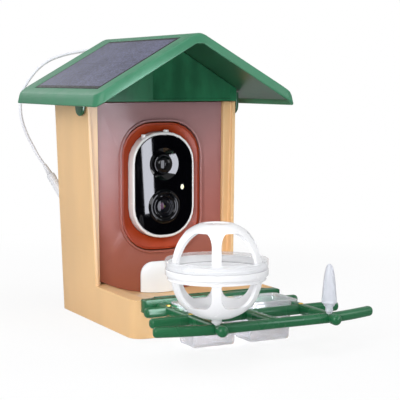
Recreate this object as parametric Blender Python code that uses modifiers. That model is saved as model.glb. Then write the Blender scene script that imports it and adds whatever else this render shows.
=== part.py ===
"""Smart bird feeder: amber housing, lifting green roof with a solar panel, pull-out camera,
sliding gate, lift-off perch with two cups, a fruit ball and a fruit spike.

Metres, +Z up. The origin is the centre of the flat base. The front faces -Y, so depths are
given as distances forward of the back plane.
"""
import math

import bmesh
import bpy

# Shared clearances.
GAP = 0.0003
OVERLAP = 0.0010
CUT_MARGIN = 0.0100
EDGE_ROUND = 0.0008
EDGE_STEPS = 2
MERGE = 0.00001
WELD = 0.00002
TURN_MERGE = 0.00005
PRESS = 0.0005
ROUND_SIDES = 12
KNOB_SIDES = 18
FINE_SIDES = 28
BALL_SIDES = 36
PILL_STEPS = 6

# housing
BASE_HALF = 0.0665
TOP_HALF = BASE_HALF + 0.0057
WALL_TOP = 0.1907
BASE_DEPTH = 0.1620
BACK_Y = BASE_DEPTH / 2
FRONT_LEAN_SHARE = 0.1424
BACK_LEAN_SHARE = 0.0206
BACK_CORNER = 0.0060
FRONT_CORNER = 0.0120
CORNER_STEPS = 5
WALL_FRONT_LOW = 0.0840
WALL_FRONT_HIGH = WALL_FRONT_LOW - 0.0050
RIM_Z = 0.0326
LEDGE_Z = 0.0318
TROUGH_LOW = 0.0204
TROUGH_SHARE = 1.985
TROUGH_RADIUS = BASE_HALF * TROUGH_SHARE
TROUGH_END_Z = 0.0342
WALL = 0.0030
BACK_WALL = 0.0030
RIM_OUT = BASE_DEPTH + FRONT_LEAN_SHARE * RIM_Z
RIM_WALL = 0.0041
RIM_IN = RIM_OUT - RIM_WALL
TROUGH_CUT_SHARE = 0.7
UNDER_TOP = 0.0168
UNDER_WALL = 0.0032
POST_BACK = 0.0640
POST_SEAT = 0.0707
POST_FRONT = 0.0762
POST_LIP = 0.0030

# base plate and its screws
PLATE_THICK = 0.0024
BOSS_RADIUS = 0.0040
BOSS_OUT = BASE_HALF - 0.0145
BOSS_FRONT = BASE_DEPTH - 0.0170
BOSS_BACK = 0.0160
SCREW_RADIUS = 0.0014
SCREW_HEAD = 0.0030
SCREW_HEAD_THICK = 0.0012
SCREW_LENGTH = 0.0090
SLOT_LONG = 0.0021
SLOT_WIDE = 0.0004
SLOT_DEEP = 0.0006

# camera pocket
POCKET_WALL = 0.0016
MOUTH_HALF = 0.0379
MOUTH_LOW = 0.0598
MOUTH_HIGH = 0.1721
MOUTH_FRONT = 0.0738
MOUTH_BACK = 0.0729
THROAT_FRONT = 0.0694
POCKET_BACK = 0.0105
SLEEVE_PLAY = 0.0005
POCKET_BOSS_OUT = 0.0180
POCKET_BOSS_LOW = 0.0880
POCKET_BOSS_HIGH = 0.1480

# camera
CAMERA_HALF = 0.0299
CAMERA_LOW = 0.0706
CAMERA_HIGH = 0.1642
CAMERA_FRONT = 0.0800
CAMERA_BACK = 0.0200
CAMERA_CORNER = 0.0270
CAMERA_EDGE = 0.0012
FACE_HALF = 0.0291
FACE_HALF_HIGH = 0.0442
FACE_DEPTH = 0.0030
FACE_PROUD = 0.0004
DOME_Z = 0.1359
DISH_RADIUS = 0.0142
DISH_DEPTH = 0.0014
DISH_RIM_SHARE = 1.05
DISH_FLOOR_SHARE = 0.92
DOME_RADIUS = 0.0081
DOME_RISE = 0.0052
DOME_STEPS = 5
LENS_Z = 0.0983
BEZEL_RADIUS = 0.0133
BEZEL_INNER = 0.0092
BEZEL_RISE = 0.0018
LENS_SINK = 0.0040
BARREL_INNER = 0.0064
GLASS_RADIUS = 0.0060
GLASS_SINK = 0.0002
GLASS_SAG = 0.0015
GLASS_STEPS = 3
LED_SIDE = 0.0177
LED_Z = 0.1152
LED_WIDE = 0.0030
LED_HIGH = 0.0047
LED_CORNER = 0.0012
BUTTONS = ((-0.0168, 0.0742), (0.0047, 0.0742))
BUTTON_RADIUS = 0.0025
BUTTON_RISE = 0.0018
BUTTON_WELL = 0.0040
BUTTON_TRAVEL = 0.0008

# window and gate
PANE_FRONT = 0.0730
PANE_THICK = 0.0020
PANE_HALF_LOW = BASE_HALF - 0.0070
PANE_HALF_HIGH = BASE_HALF - 0.0055
PANE_TOP = WALL_TOP - 0.0003
OPENING_HALF = 0.0402
OPENING_LOW = 0.0570
OPENING_HIGH = 0.1752
OPENING_CORNER = 0.0310
COLLAR = 0.0018
COLLAR_PROUD = 0.0026
COLLAR_BACK = 0.0640
FEED_HALF = 0.0170
FEED_LOW = 0.0235
FEED_HIGH = 0.0450
FEED_CORNER_LOW = 0.0030
FEED_CORNER_HIGH = 0.0060
GATE_HALF = 0.0205
GATE_HIGH = 0.0490
GATE_CORNER = 0.0110
GATE_THICK = 0.0024
GATE_WEB_HALF = 0.0120
GATE_WEB_HIGH = 0.0050
GATE_FLANGE_HALF = 0.0190
GATE_FLANGE_HIGH = 0.0080
GATE_FLANGE = 0.0016

# roof
RIDGE_Z = WALL_TOP + 0.0598
RIDGE_ROUND = 0.0130
ROOF_FALL_SHARE = 0.5680
ROOF_HALF = TOP_HALF + 0.0200
ROOF_FRONT = 0.1500
ROOF_REAR = -0.0460
ROOF_FLARE = 0.0014
ROOF_CORNER = 0.0090
ROOF_EDGE = 0.0022
ROOF_EASE_SHARE = 0.3
RIDGE_SPLIT_SHARE = 0.33
FASCIA_Z = WALL_TOP + 0.0513
FASCIA_FALL_SHARE = 0.5770
FASCIA_TOP = WALL_TOP + 0.0493
FASCIA_LOW = WALL_TOP - 0.0022
ROOF_THICK = 0.0024
PANEL_LEFT = -ROOF_HALF + 0.0086
PANEL_RIGHT = -0.0089
PANEL_FRONT = 0.1320
PANEL_REAR = -0.0200
PANEL_THICK = 0.0010
PANEL_SINK = 0.0013
LINER_Z = WALL_TOP + 0.0546
LINER_FALL_SHARE = 0.6066
LINER_FLAT_Z = WALL_TOP + 0.0497
LINER_THICK = 0.0020
LINER_HALF = ROOF_HALF - 0.0055
LINER_FRONT = ROOF_FRONT - 0.0050
LINER_REAR = -0.0415
GABLE_HALF = TOP_HALF - 0.0018
GABLE_FRONT = 0.0842
GABLE_REAR = -0.0040
GABLE_LOW = WALL_TOP + 0.0004
GABLE_WALL = 0.0020
GABLE_ROUND = 0.0030
STEP_SIDE = -0.0120
STEP_DEEP = 0.0006
STEP_HIGH = 0.0500
TAB_IN = TOP_HALF + 0.0008
TAB_THICK = 0.0032
TAB_FRONT = 0.0780
TAB_BACK = 0.0610
TAB_LOW = WALL_TOP - 0.0118
TAB_PLAY = 0.0005
TAB_HIGH = LINER_Z - LINER_FALL_SHARE * (TAB_IN + TAB_THICK) - TAB_PLAY
TAB_ROUND = 0.0080
TAB_TOP_ROUND = 0.0005

# roof hinge
HINGE_DEPTH = -0.0086
HINGE_Z = WALL_TOP - 0.0067
KNUCKLE = 0.0042
KNUCKLE_BORE = 0.0018
PIN_RADIUS = 0.0015
PIN_HEAD = 0.0028
PIN_HEAD_THICK = 0.0010
HINGE_OUT = TOP_HALF - 0.0242
LEAF_KNUCKLE = 0.0120
LUG_WIDE = 0.0080
LEAF_FRONT = -0.0043
LEAF_THICK = 0.0022
LEAF_LOW = WALL_TOP + 0.0008
LEAF_HIGH = WALL_TOP + 0.0123
LEAF_ARM_THICK = 0.0040
LUG_DROP = 0.0180
LEAF_HALF = HINGE_OUT + 0.0080

# back pad and port
PAD_LOW = 0.0300
PAD_HIGH = 0.0700
PAD_HALF = 0.0360
PAD_BACK = -0.0040
PAD_CORNER = 0.0060
KEY_OUT = 0.0220
KEY_Z = 0.0500
KEY_WIDE = 0.0042
KEY_SLOT = 0.0022
KEY_RISE = 0.0080
KEY_DEPTH = 0.0022
PORT_SIDE = -BASE_HALF + 0.0095
PORT_Z = 0.0960
PORT_RADIUS = 0.0062
PORT_FLANGE = 0.0090
PORT_FLANGE_THICK = 0.0016
PORT_FLANGE_TIP_SHARE = 0.9
PORT_FOOT_SHARE = 0.8
PORT_BOOT_SHARE = 0.88
PORT_MOUTH_DEPTH = -0.0140
PORT_MOUTH_RISE = 0.0020
PLUG_RADIUS = 0.0040
RELIEF_RADIUS = 0.0026
RELIEF_LENGTH = 0.0100
RELIEF_TIP_SHARE = 1.15
CORD_RADIUS = 0.00145
OUTLET_SIDE = -0.0080
OUTLET_Z = WALL_TOP + 0.0478
OUTLET_RADIUS = 0.0040

# the cord: side, depth forward of the back plane, height
CORD_ROUTE = (
    (-0.0080, -0.0530, 0.2385), (-0.0130, -0.0570, 0.2382), (-0.0228, -0.0615, 0.2368),
    (-0.0375, -0.0640, 0.2338), (-0.0520, -0.0650, 0.2287), (-0.0640, -0.0645, 0.2208),
    (-0.0742, -0.0620, 0.2104), (-0.0812, -0.0590, 0.2008), (-0.0846, -0.0570, 0.1915),
    (-0.0860, -0.0545, 0.1815), (-0.0851, -0.0525, 0.1710), (-0.0817, -0.0500, 0.1590),
    (-0.0771, -0.0470, 0.1480), (-0.0727, -0.0425, 0.1375), (-0.0690, -0.0365, 0.1300),
)
CORD_STEPS = 4

# perch
CLAMP_HALF = BASE_HALF - 0.0042
CLAMP_BACK = RIM_OUT + 0.0004
CLAMP_FRONT = CLAMP_BACK + 0.0090
CLAMP_LOW = 0.0231
CLAMP_HIGH = 0.0345
CLAMP_CORNER = 0.0016
CLAMP_FOOT_CORNER = 0.0015
HOOK_HALF = 0.0480
HOOK_BACK = RIM_IN
HOOK_LIP = 0.0021
HOOK_LIP_HALF = 0.0300
HOOK_LIP_LOW = 0.0262
BAR_TOP = 0.0319
BAR_HIGH = 0.0085
BAR_HALF = 0.0040
BAR_ROUND = 0.0026
BAR_EDGE = 0.0012
STRUT_OUT = 0.0491
REAR_BAR = CLAMP_FRONT + 0.0148
REAR_HALF = STRUT_OUT + 0.0204
MID_BAR = REAR_BAR + 0.0401
MID_HALF = STRUT_OUT + 0.0344
FRONT_BAR = MID_BAR + 0.0406
FRONT_HALF = STRUT_OUT + 0.0460
FRONT_SWEEP = 0.0105
NUB_FRONT = FRONT_BAR + 0.0146
BRASS_RADIUS = 0.0021
BRASS_RISE = 0.0007
BRASS_DEEP = 0.0045
BRASS_FLAT_SHARE = 0.6
PEG_RADIUS = 0.0023
PEG_DEEP = 0.0055

# cups
CUP_OUT = STRUT_OUT / 2 + 0.0003
CUP_DEPTH = (REAR_BAR + MID_BAR) / 2
CUP_LOW = 0.0028
CUP_HIGH = 0.0340
CUP_BASE = (0.01835, 0.01405)
CUP_NECK = (0.0199, 0.0157)
CUP_RIM = (0.02365, 0.01920)
CUP_CORNER = 0.0038
CUP_WALL = 0.0011
CUP_FOOT = 0.0012
CUP_FOOT_HIGH = 0.0014
CUP_LIP_DROP = 0.0008
CUP_LIP_ROUND = 0.0006

# fruit ball and spike
BALL_SIDE = -STRUT_OUT + 0.0003
BALL_DEPTH = FRONT_BAR + 0.0010
BALL_RADIUS = 0.0366
BALL_MID = 0.0715
BALL_WALL = 0.0024
BALL_FLAT = 0.0125
BALL_FLAT_IN_SHARE = 0.9
WINDOW_CUT_IN_SHARE = 0.36
WINDOW_CUT_OUT_SHARE = 1.3
STEM_RADIUS = 0.0038
RING_RADIUS = 0.0371
RING_LOW = 0.0690
RING_HIGH = 0.0730
RING_WALL = 0.0022
BAND_HIGH = 0.0780
BAND_LOW = 0.0652
WINDOW_HIGH = 0.0996
WINDOW_LOW = 0.0434
RIB = 0.0068
RIB_COUNT = 6
RIB_AIM = math.radians(-117.8)
SPIKE_SIDE = STRUT_OUT
SPIKE_PROFILE = (
    (0.0000, 0.0696), (0.0014, 0.0690), (0.0024, 0.0676), (0.0033, 0.0648), (0.0041, 0.0602),
    (0.0048, 0.0543), (0.0053, 0.0484), (0.0059, 0.0410), (0.0060, 0.0396), (0.0050, 0.0386),
    (0.0042, 0.0372), (0.0030, 0.0362), (0.0030, 0.0326), (0.0023, 0.0322), (0.0023, 0.0266),
    (0.0000, 0.0266),
)

COLOURS = {
    "amber": ((0.72, 0.31, 0.10), 0.42, 0.0),
    "pocket": ((0.45, 0.06, 0.01), 0.45, 0.0),
    "smoke": ((0.36, 0.24, 0.24), 0.12, 0.0),
    "white": ((0.84, 0.84, 0.82), 0.35, 0.0),
    "black": ((0.012, 0.012, 0.014), 0.18, 0.0),
    "lens": ((0.02, 0.02, 0.04), 0.05, 0.0),
    "frost": ((0.78, 0.80, 0.88), 0.40, 0.0),
    "roof": ((0.10, 0.34, 0.19), 0.40, 0.0),
    "liner": ((0.02, 0.14, 0.05), 0.50, 0.0),
    "solar": ((0.09, 0.09, 0.16), 0.15, 0.0),
    "perch": ((0.03, 0.20, 0.07), 0.38, 0.0),
    "brass": ((0.72, 0.48, 0.20), 0.30, 1.0),
    "steel": ((0.60, 0.60, 0.62), 0.30, 1.0),
    "clear": ((0.72, 0.78, 0.84), 0.10, 0.0),
    "cord": ((0.85, 0.85, 0.84), 0.45, 0.0),
    "rubber": ((0.03, 0.03, 0.03), 0.70, 0.0),
}


def depth(value):
    """Y of a point that far forward of the back plane."""
    return BACK_Y - value


def clear_scene():
    for item in list(bpy.data.objects):
        bpy.data.objects.remove(item, do_unlink=True)


def collection(name):
    made = bpy.data.collections.new(name)
    bpy.context.scene.collection.children.link(made)
    return made


clear_scene()
PARTS = collection("smart_bird_feeder")
CUTTERS = collection("cutters")


def material(name):
    made = bpy.data.materials.get(name)
    if made:
        return made
    colour, roughness, metallic = COLOURS[name]
    made = bpy.data.materials.new(name)
    made.use_nodes = True
    shader = made.node_tree.nodes["Principled BSDF"]
    shader.inputs["Base Color"].default_value = (*colour, 1.0)
    shader.inputs["Roughness"].default_value = roughness
    shader.inputs["Metallic"].default_value = metallic
    made.diffuse_color = (*colour, 1.0)
    return made


def place(name, mesh, look, smooth=False):
    """A named part with its own material, or a cutter when no look is given."""
    item = bpy.data.objects.new(name, mesh)
    if look:
        PARTS.objects.link(item)
        mesh.materials.append(material(look))
    else:
        CUTTERS.objects.link(item)
        item.hide_render = True
        item.display_type = "WIRE"
    if smooth:
        for face in mesh.polygons:
            face.use_smooth = True
    return item


def to_mesh(name, shape, distance=MERGE):
    mesh = bpy.data.meshes.new(name)
    bmesh.ops.remove_doubles(shape, verts=shape.verts, dist=distance)
    bmesh.ops.recalc_face_normals(shape, faces=shape.faces)
    count = len(shape.verts)
    middle = [sum(vert.co[axis] for vert in shape.verts) / count for axis in range(3)]
    outward = 0
    for face in shape.faces:
        centre = face.calc_center_median()
        arm = [centre[axis] - middle[axis] for axis in range(3)]
        outward += face.calc_area() * sum(a * n for a, n in zip(arm, face.normal))
    if outward < 0:
        bmesh.ops.reverse_faces(shape, faces=shape.faces)
    shape.to_mesh(mesh)
    shape.free()
    return mesh


def box(name, low, high, look=None):
    """A primitive cube stretched between two corners."""
    shape = bmesh.new()
    bmesh.ops.create_cube(shape, size=1)
    for vert in shape.verts:
        for axis in range(3):
            middle = (low[axis] + high[axis]) / 2
            vert.co[axis] = middle + vert.co[axis] * (high[axis] - low[axis])
    return place(name, to_mesh(name, shape), look)


def rod(name, start, axis, length, radius, look=None, tip=None, sides=ROUND_SIDES):
    """A primitive cylinder or cone from a start point along +X, +Y or +Z."""
    shape = bmesh.new()
    tip = radius if tip is None else tip
    bmesh.ops.create_cone(
        shape, cap_ends=True, segments=sides, radius1=radius, radius2=tip, depth=length)
    for vert in shape.verts:
        x, y, z = vert.co
        z += length / 2
        if axis == "X":
            x, y, z = z, y, -x
        elif axis == "Y":
            x, y, z = x, z, -y
        vert.co = (start[0] + x, start[1] + y, start[2] + z)
    return place(name, to_mesh(name, shape), look, smooth=bool(look))


def outline_curve(name, loops, axis, low, high):
    """Flat outlines filled and extruded between two planes across an axis."""
    curve = bpy.data.curves.new(name, "CURVE")
    curve.dimensions = "2D"
    curve.fill_mode = "BOTH"
    curve.extrude = (high - low) / 2
    for loop in loops:
        spline = curve.splines.new("POLY")
        spline.points.add(len(loop) - 1)
        for point, (u, v) in zip(spline.points, loop):
            point.co = (u, v, 0, 1)
        spline.use_cyclic_u = True
    item = bpy.data.objects.new(name, curve)
    CUTTERS.objects.link(item)
    bpy.context.view_layer.update()
    solid = bpy.data.meshes.new_from_object(item.evaluated_get(bpy.context.evaluated_depsgraph_get()))
    bpy.data.objects.remove(item, do_unlink=True)
    middle = (low + high) / 2
    for vert in solid.vertices:
        u, v, w = vert.co
        if axis == "X":
            vert.co = (middle + w, u, v)
        elif axis == "Y":
            vert.co = (u, middle - w, v)
        else:
            vert.co = (u, v, middle + w)
    shape = bmesh.new()
    shape.from_mesh(solid)
    bpy.data.meshes.remove(solid)
    bmesh.ops.remove_doubles(shape, verts=shape.verts, dist=MERGE)
    bmesh.ops.dissolve_limit(
        shape, angle_limit=math.radians(0.5), verts=shape.verts, edges=shape.edges)
    return to_mesh(name, shape)


def slab(name, loops, axis, low, high, look=None):
    return place(name, outline_curve(name, loops, axis, low, high), look)


def arc(centre, radius, start, end, steps):
    points = []
    for step in range(steps + 1):
        angle = math.radians(start + (end - start) * step / steps)
        points.append((centre[0] + radius * math.cos(angle), centre[1] + radius * math.sin(angle)))
    return points


def rounded(low, high, corner, steps=CORNER_STEPS):
    """Rounded rectangle, one corner radius or four: low left, low right, high right, high left."""
    corners = corner if isinstance(corner, tuple) else (corner,) * 4
    spots = (
        (low[0], low[1], 1, 1, 180), (high[0], low[1], -1, 1, 270),
        (high[0], high[1], -1, -1, 0), (low[0], high[1], 1, -1, 90),
    )
    points = []
    for (x, y, in_x, in_y, start), radius in zip(spots, corners):
        centre = (x + in_x * radius, y + in_y * radius)
        points.extend(arc(centre, radius, start, start + 90, steps))
    return points


def soften(loop, radius, steps=2):
    """The loop with each sharp corner eased by a small curve."""
    made = []
    count = len(loop)
    for index, point in enumerate(loop):
        before = loop[index - 1]
        after = loop[(index + 1) % count]
        ways = []
        for other in (before, after):
            way = (other[0] - point[0], other[1] - point[1])
            size = math.hypot(*way)
            ways.append((way[0] / size, way[1] / size))
        turn = -(ways[0][0] * ways[1][0] + ways[0][1] * ways[1][1])
        if turn > math.cos(math.radians(50)):
            made.append(point)
            continue
        for step in range(steps + 1):
            t = step / steps
            near = (1 - t) ** 2
            far = t ** 2
            made.append(tuple(
                point[axis] + radius * (near * ways[0][axis] + far * ways[1][axis]) for axis in (0, 1)))
    return made


def turned(name, profile, centre, look=None, sides=FINE_SIDES, closed=False):
    """A profile turned about a vertical axis."""
    shape = bmesh.new()
    verts = [shape.verts.new((radius, 0, height)) for radius, height in profile]
    for first, second in zip(verts, verts[1:]):
        shape.edges.new((first, second))
    if closed:
        shape.edges.new((verts[-1], verts[0]))
    mesh = bpy.data.meshes.new(name)
    shape.to_mesh(mesh)
    shape.free()
    item = place(name, mesh, look)
    item.location = centre
    spin = item.modifiers.new("turn", "SCREW")
    spin.axis = "Z"
    spin.steps = sides
    spin.render_steps = sides
    spin.use_merge_vertices = True
    spin.merge_threshold = TURN_MERGE
    spin.use_smooth_shade = True
    return item


def closed_profile(name, profile, centre, look=None, sides=FINE_SIDES):
    """A closed ring profile turned about a vertical axis."""
    return turned(name, profile, centre, look, sides, closed=True)


def loft(name, rings, look=None, cap_start=True, cap_end=True, smooth=False):
    """Skin through rings of equal point count."""
    shape = bmesh.new()
    rows = [[shape.verts.new(point) for point in ring] for ring in rings]
    count = len(rows[0])
    for low, high in zip(rows, rows[1:]):
        for index in range(count):
            after = (index + 1) % count
            shape.faces.new((low[index], low[after], high[after], high[index]))
    if cap_start:
        shape.faces.new(rows[0][::-1])
    if cap_end:
        shape.faces.new(rows[-1])
    return place(name, to_mesh(name, shape), look, smooth)


def weld(item, distance=WELD):
    item.modifiers.new("weld", "WELD").merge_threshold = distance
    return item


def bevel(item, width, steps=EDGE_STEPS, angle=40):
    edge = item.modifiers.new("edge", "BEVEL")
    edge.width = width
    edge.segments = steps
    edge.limit_method = "ANGLE"
    edge.angle_limit = math.radians(angle)
    edge.use_clamp_overlap = False
    return weld(item)


def boolean(item, tool, kind):
    step = item.modifiers.new(kind.lower(), "BOOLEAN")
    step.operation = kind
    step.solver = "EXACT"
    step.object = tool
    return item


def cut(item, tool):
    return boolean(item, tool, "DIFFERENCE")


def join(item, tool):
    return boolean(item, tool, "UNION")


def smooth(item):
    """Smooth shading on round faces."""
    for face in item.data.polygons:
        face.use_smooth = True
    return item


# Housing.
def housing_ring(z):
    share = z / WALL_TOP
    half = BASE_HALF + (TOP_HALF - BASE_HALF) * share
    front = BASE_DEPTH + FRONT_LEAN_SHARE * z
    back = -BACK_LEAN_SHARE * z
    loop = rounded(
        (-half, depth(front)), (half, depth(back)),
        (FRONT_CORNER, FRONT_CORNER, BACK_CORNER, BACK_CORNER))
    return [(x, y, z) for x, y in loop]


def wall_inner(z):
    return BASE_HALF + (TOP_HALF - BASE_HALF) * z / WALL_TOP - WALL


def pane_half(z):
    return PANE_HALF_LOW + (PANE_HALF_HIGH - PANE_HALF_LOW) * z / PANE_TOP


def shaft(name, half_at, low_depth, high_depth, lean=0):
    """Cutter above the ledge between two depths, its half width a function of height."""
    top = WALL_TOP + CUT_MARGIN
    rings = []
    for z in (LEDGE_Z, top):
        half = half_at(z)
        back = low_depth - lean * z
        rings.append([
            (-half, depth(high_depth), z), (half, depth(high_depth), z),
            (half, depth(back), z), (-half, depth(back), z)])
    return loft(name, rings)


def trough_half(z):
    return math.sqrt(TROUGH_RADIUS ** 2 - (TROUGH_LOW + TROUGH_RADIUS - z) ** 2)


def trough_loop(inside=0):
    """The concave floor's outline across the width, drawn in by a clearance."""
    end = math.degrees(math.asin(trough_half(TROUGH_END_Z) / TROUGH_RADIUS))
    middle = (0, TROUGH_LOW + TROUGH_RADIUS)
    points = arc(middle, TROUGH_RADIUS - inside, 270 - end, 270 + end, 12)
    return points


def make_housing():
    rings = [housing_ring(0), housing_ring(RIM_Z), housing_ring(WALL_TOP)]
    item = loft("housing", rings, "amber")
    top = WALL_TOP + CUT_MARGIN
    lean = (WALL_FRONT_HIGH - WALL_FRONT_LOW) / (WALL_TOP - RIM_Z)
    wide = TOP_HALF + CUT_MARGIN
    high_front = WALL_FRONT_LOW + lean * (top - RIM_Z)
    far = BASE_DEPTH + FRONT_LEAN_SHARE * top + CUT_MARGIN
    step = [
        (depth(WALL_FRONT_LOW), RIM_Z), (depth(high_front), top), (depth(far), top),
        (depth(far), RIM_Z)]
    cut(item, slab("cut_step", [step], "X", -wide, wide))
    floor = trough_loop()
    high = LEDGE_Z + CUT_MARGIN
    inner = BASE_HALF * TROUGH_CUT_SHARE
    floor = floor + [(inner, high), (-inner, high)]
    cut(item, slab("cut_trough", [floor], "Y", depth(RIM_IN), depth(BACK_WALL)))
    cut(item, shaft("cut_hopper", wall_inner, BACK_WALL, POST_BACK, BACK_LEAN_SHARE))
    cut(item, shaft("cut_lip", lambda z: pane_half(z) - POST_LIP, POST_BACK - OVERLAP,
                    POST_SEAT + OVERLAP))
    cut(item, shaft("cut_pane", lambda z: pane_half(z) + GAP, POST_SEAT, POST_FRONT + OVERLAP))
    cut(item, shaft("cut_tray", wall_inner, POST_FRONT, RIM_IN))
    under = rounded(
        (-BASE_HALF + UNDER_WALL, depth(BASE_DEPTH - UNDER_WALL)),
        (BASE_HALF - UNDER_WALL, depth(UNDER_WALL)),
        (FRONT_CORNER - UNDER_WALL,) * 2 + (BACK_CORNER - UNDER_WALL,) * 2)
    cut(item, slab("cut_under", [under], "Z", -CUT_MARGIN, UNDER_TOP))
    for index, (x, d) in enumerate(base_spots()):
        boss = rod(f"boss_{index}", (x, depth(d), PLATE_THICK + GAP), "Z",
                   UNDER_TOP - PLATE_THICK + OVERLAP, BOSS_RADIUS)
        join(item, boss)
        bore = rod(f"boss_bore_{index}", (x, depth(d), 0), "Z",
                   SCREW_LENGTH + GAP, SCREW_RADIUS + GAP)
        cut(item, bore)
    for index, (x, z) in enumerate(pocket_spots()):
        start = depth(POCKET_BACK)
        cut(item, rod(f"wall_bore_{index}", (x, start, z), "Y",
                      POCKET_BACK + CUT_MARGIN, SCREW_RADIUS + GAP))
        seat = depth(-BACK_LEAN_SHARE * z) - SCREW_HEAD_THICK
        cut(item, rod(f"wall_seat_{index}", (x, seat, z), "Y", CUT_MARGIN, SCREW_HEAD + GAP))
    port = depth(BACK_WALL) - OVERLAP * 3
    cut(item, rod("cut_port", (PORT_SIDE, port, PORT_Z), "Y", CUT_MARGIN * 2, PORT_RADIUS + GAP,
                  sides=KNOB_SIDES))
    wall_at = depth(-BACK_LEAN_SHARE * HINGE_Z)
    for index, x in enumerate(lug_spots()):
        low = HINGE_Z - LUG_DROP
        web = box(f"lug_web_{index}",
                  (x, wall_at - OVERLAP * 2, low + KNUCKLE),
                  (x + LUG_WIDE, depth(HINGE_DEPTH), HINGE_Z))
        join(item, web)
        join(item, rod(f"lug_{index}", (x, depth(HINGE_DEPTH), HINGE_Z), "X", LUG_WIDE, KNUCKLE,
                       sides=KNOB_SIDES))
        cut(item, rod(f"lug_bore_{index}", (x - OVERLAP, depth(HINGE_DEPTH), HINGE_Z), "X",
                      LUG_WIDE + OVERLAP * 2, KNUCKLE_BORE))
    return item


def base_spots():
    return [(x, d) for x in (-BOSS_OUT, BOSS_OUT) for d in (BOSS_BACK, BOSS_FRONT)]


def pocket_spots():
    return [(x, z) for x in (-POCKET_BOSS_OUT, POCKET_BOSS_OUT)
            for z in (POCKET_BOSS_LOW, POCKET_BOSS_HIGH)]


def lug_spots():
    spots = []
    for centre in (-HINGE_OUT, HINGE_OUT):
        spots.append(centre - LEAF_KNUCKLE / 2 - GAP - LUG_WIDE)
        spots.append(centre + LEAF_KNUCKLE / 2 + GAP)
    return spots


def make_base_plate():
    edge = UNDER_WALL + GAP
    loop = rounded(
        (-BASE_HALF + edge, depth(BASE_DEPTH - edge)), (BASE_HALF - edge, depth(edge)),
        (FRONT_CORNER - edge,) * 2 + (BACK_CORNER - edge,) * 2)
    item = slab("base_plate", [loop], "Z", 0, PLATE_THICK, "amber")
    for index, (x, d) in enumerate(base_spots()):
        cut(item, rod(f"plate_bore_{index}", (x, depth(d), -OVERLAP), "Z",
                      PLATE_THICK + OVERLAP * 2, SCREW_RADIUS + GAP))
        cut(item, rod(f"plate_seat_{index}", (x, depth(d), -OVERLAP), "Z",
                      SCREW_HEAD_THICK + OVERLAP + GAP, SCREW_HEAD + GAP))


def make_base_screws():
    for index, (x, d) in enumerate(base_spots()):
        profile = (
            (0, SCREW_LENGTH), (SCREW_RADIUS, SCREW_LENGTH), (SCREW_RADIUS, SCREW_HEAD_THICK),
            (SCREW_HEAD, SCREW_HEAD_THICK), (SCREW_HEAD, GAP), (0, GAP))
        item = turned(f"base_screw_{index + 1}", profile, (x, depth(d), 0), "steel", ROUND_SIDES)
        slot = box(f"base_slot_{index}",
                   (x - SLOT_LONG, depth(d) - SLOT_WIDE, -OVERLAP),
                   (x + SLOT_LONG, depth(d) + SLOT_WIDE, SLOT_DEEP))
        cut(item, slot)


# Camera pocket.
def pill(half, low, high, corner, steps=PILL_STEPS):
    return rounded((-half, low), (half, high), corner, steps)


def ring_at(loop, d):
    return [(x, depth(d), z) for x, z in loop]


def make_pocket():
    half = CAMERA_HALF + SLEEVE_PLAY + POCKET_WALL
    low = CAMERA_LOW - SLEEVE_PLAY - POCKET_WALL
    high = CAMERA_HIGH + SLEEVE_PLAY + POCKET_WALL
    corner = CAMERA_CORNER + SLEEVE_PLAY + POCKET_WALL
    sleeve = pill(half, low, high, corner)
    mouth = pill(MOUTH_HALF, MOUTH_LOW, MOUTH_HIGH, OPENING_CORNER - COLLAR - GAP)
    rings = [
        ring_at(mouth, MOUTH_FRONT), ring_at(mouth, MOUTH_BACK), ring_at(sleeve, THROAT_FRONT),
        ring_at(sleeve, POCKET_BACK)]
    item = loft("camera_pocket", rings, "pocket", cap_start=False)
    solid = item.modifiers.new("wall", "SOLIDIFY")
    solid.thickness = POCKET_WALL
    solid.offset = -1
    solid.use_even_offset = True
    for index, (x, z) in enumerate(pocket_spots()):
        wall_in = BACK_WALL - BACK_LEAN_SHARE * z
        start = wall_in + GAP * 2
        join(item, rod(f"pocket_boss_{index}", (x, depth(POCKET_BACK + OVERLAP), z), "Y",
                       POCKET_BACK + OVERLAP - start, BOSS_RADIUS))
        reach = SCREW_LENGTH + GAP
        seat = -BACK_LEAN_SHARE * z
        cut(item, rod(f"pocket_bore_{index}", (x, depth(seat + reach), z), "Y",
                      reach, SCREW_RADIUS + GAP))
    return item


def make_pocket_screws():
    for index, (x, z) in enumerate(pocket_spots()):
        seat = depth(-BACK_LEAN_SHARE * z) - GAP
        profile = (
            (0, 0), (SCREW_HEAD, 0), (SCREW_HEAD, -SCREW_HEAD_THICK + GAP * 2),
            (SCREW_RADIUS, -SCREW_HEAD_THICK + GAP * 2), (SCREW_RADIUS, -SCREW_LENGTH + GAP * 2),
            (0, -SCREW_LENGTH + GAP * 2))
        item = turned(f"pocket_screw_{index + 1}", profile, (x, seat, z), "steel", ROUND_SIDES)
        item.rotation_euler = (math.radians(-90), 0, 0)
        slot = box(f"pocket_slot_{index}",
                   (x - SLOT_LONG, seat - SLOT_DEEP, z - SLOT_WIDE),
                   (x + SLOT_LONG, seat + OVERLAP, z + SLOT_WIDE))
        cut(item, slot)


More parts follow.
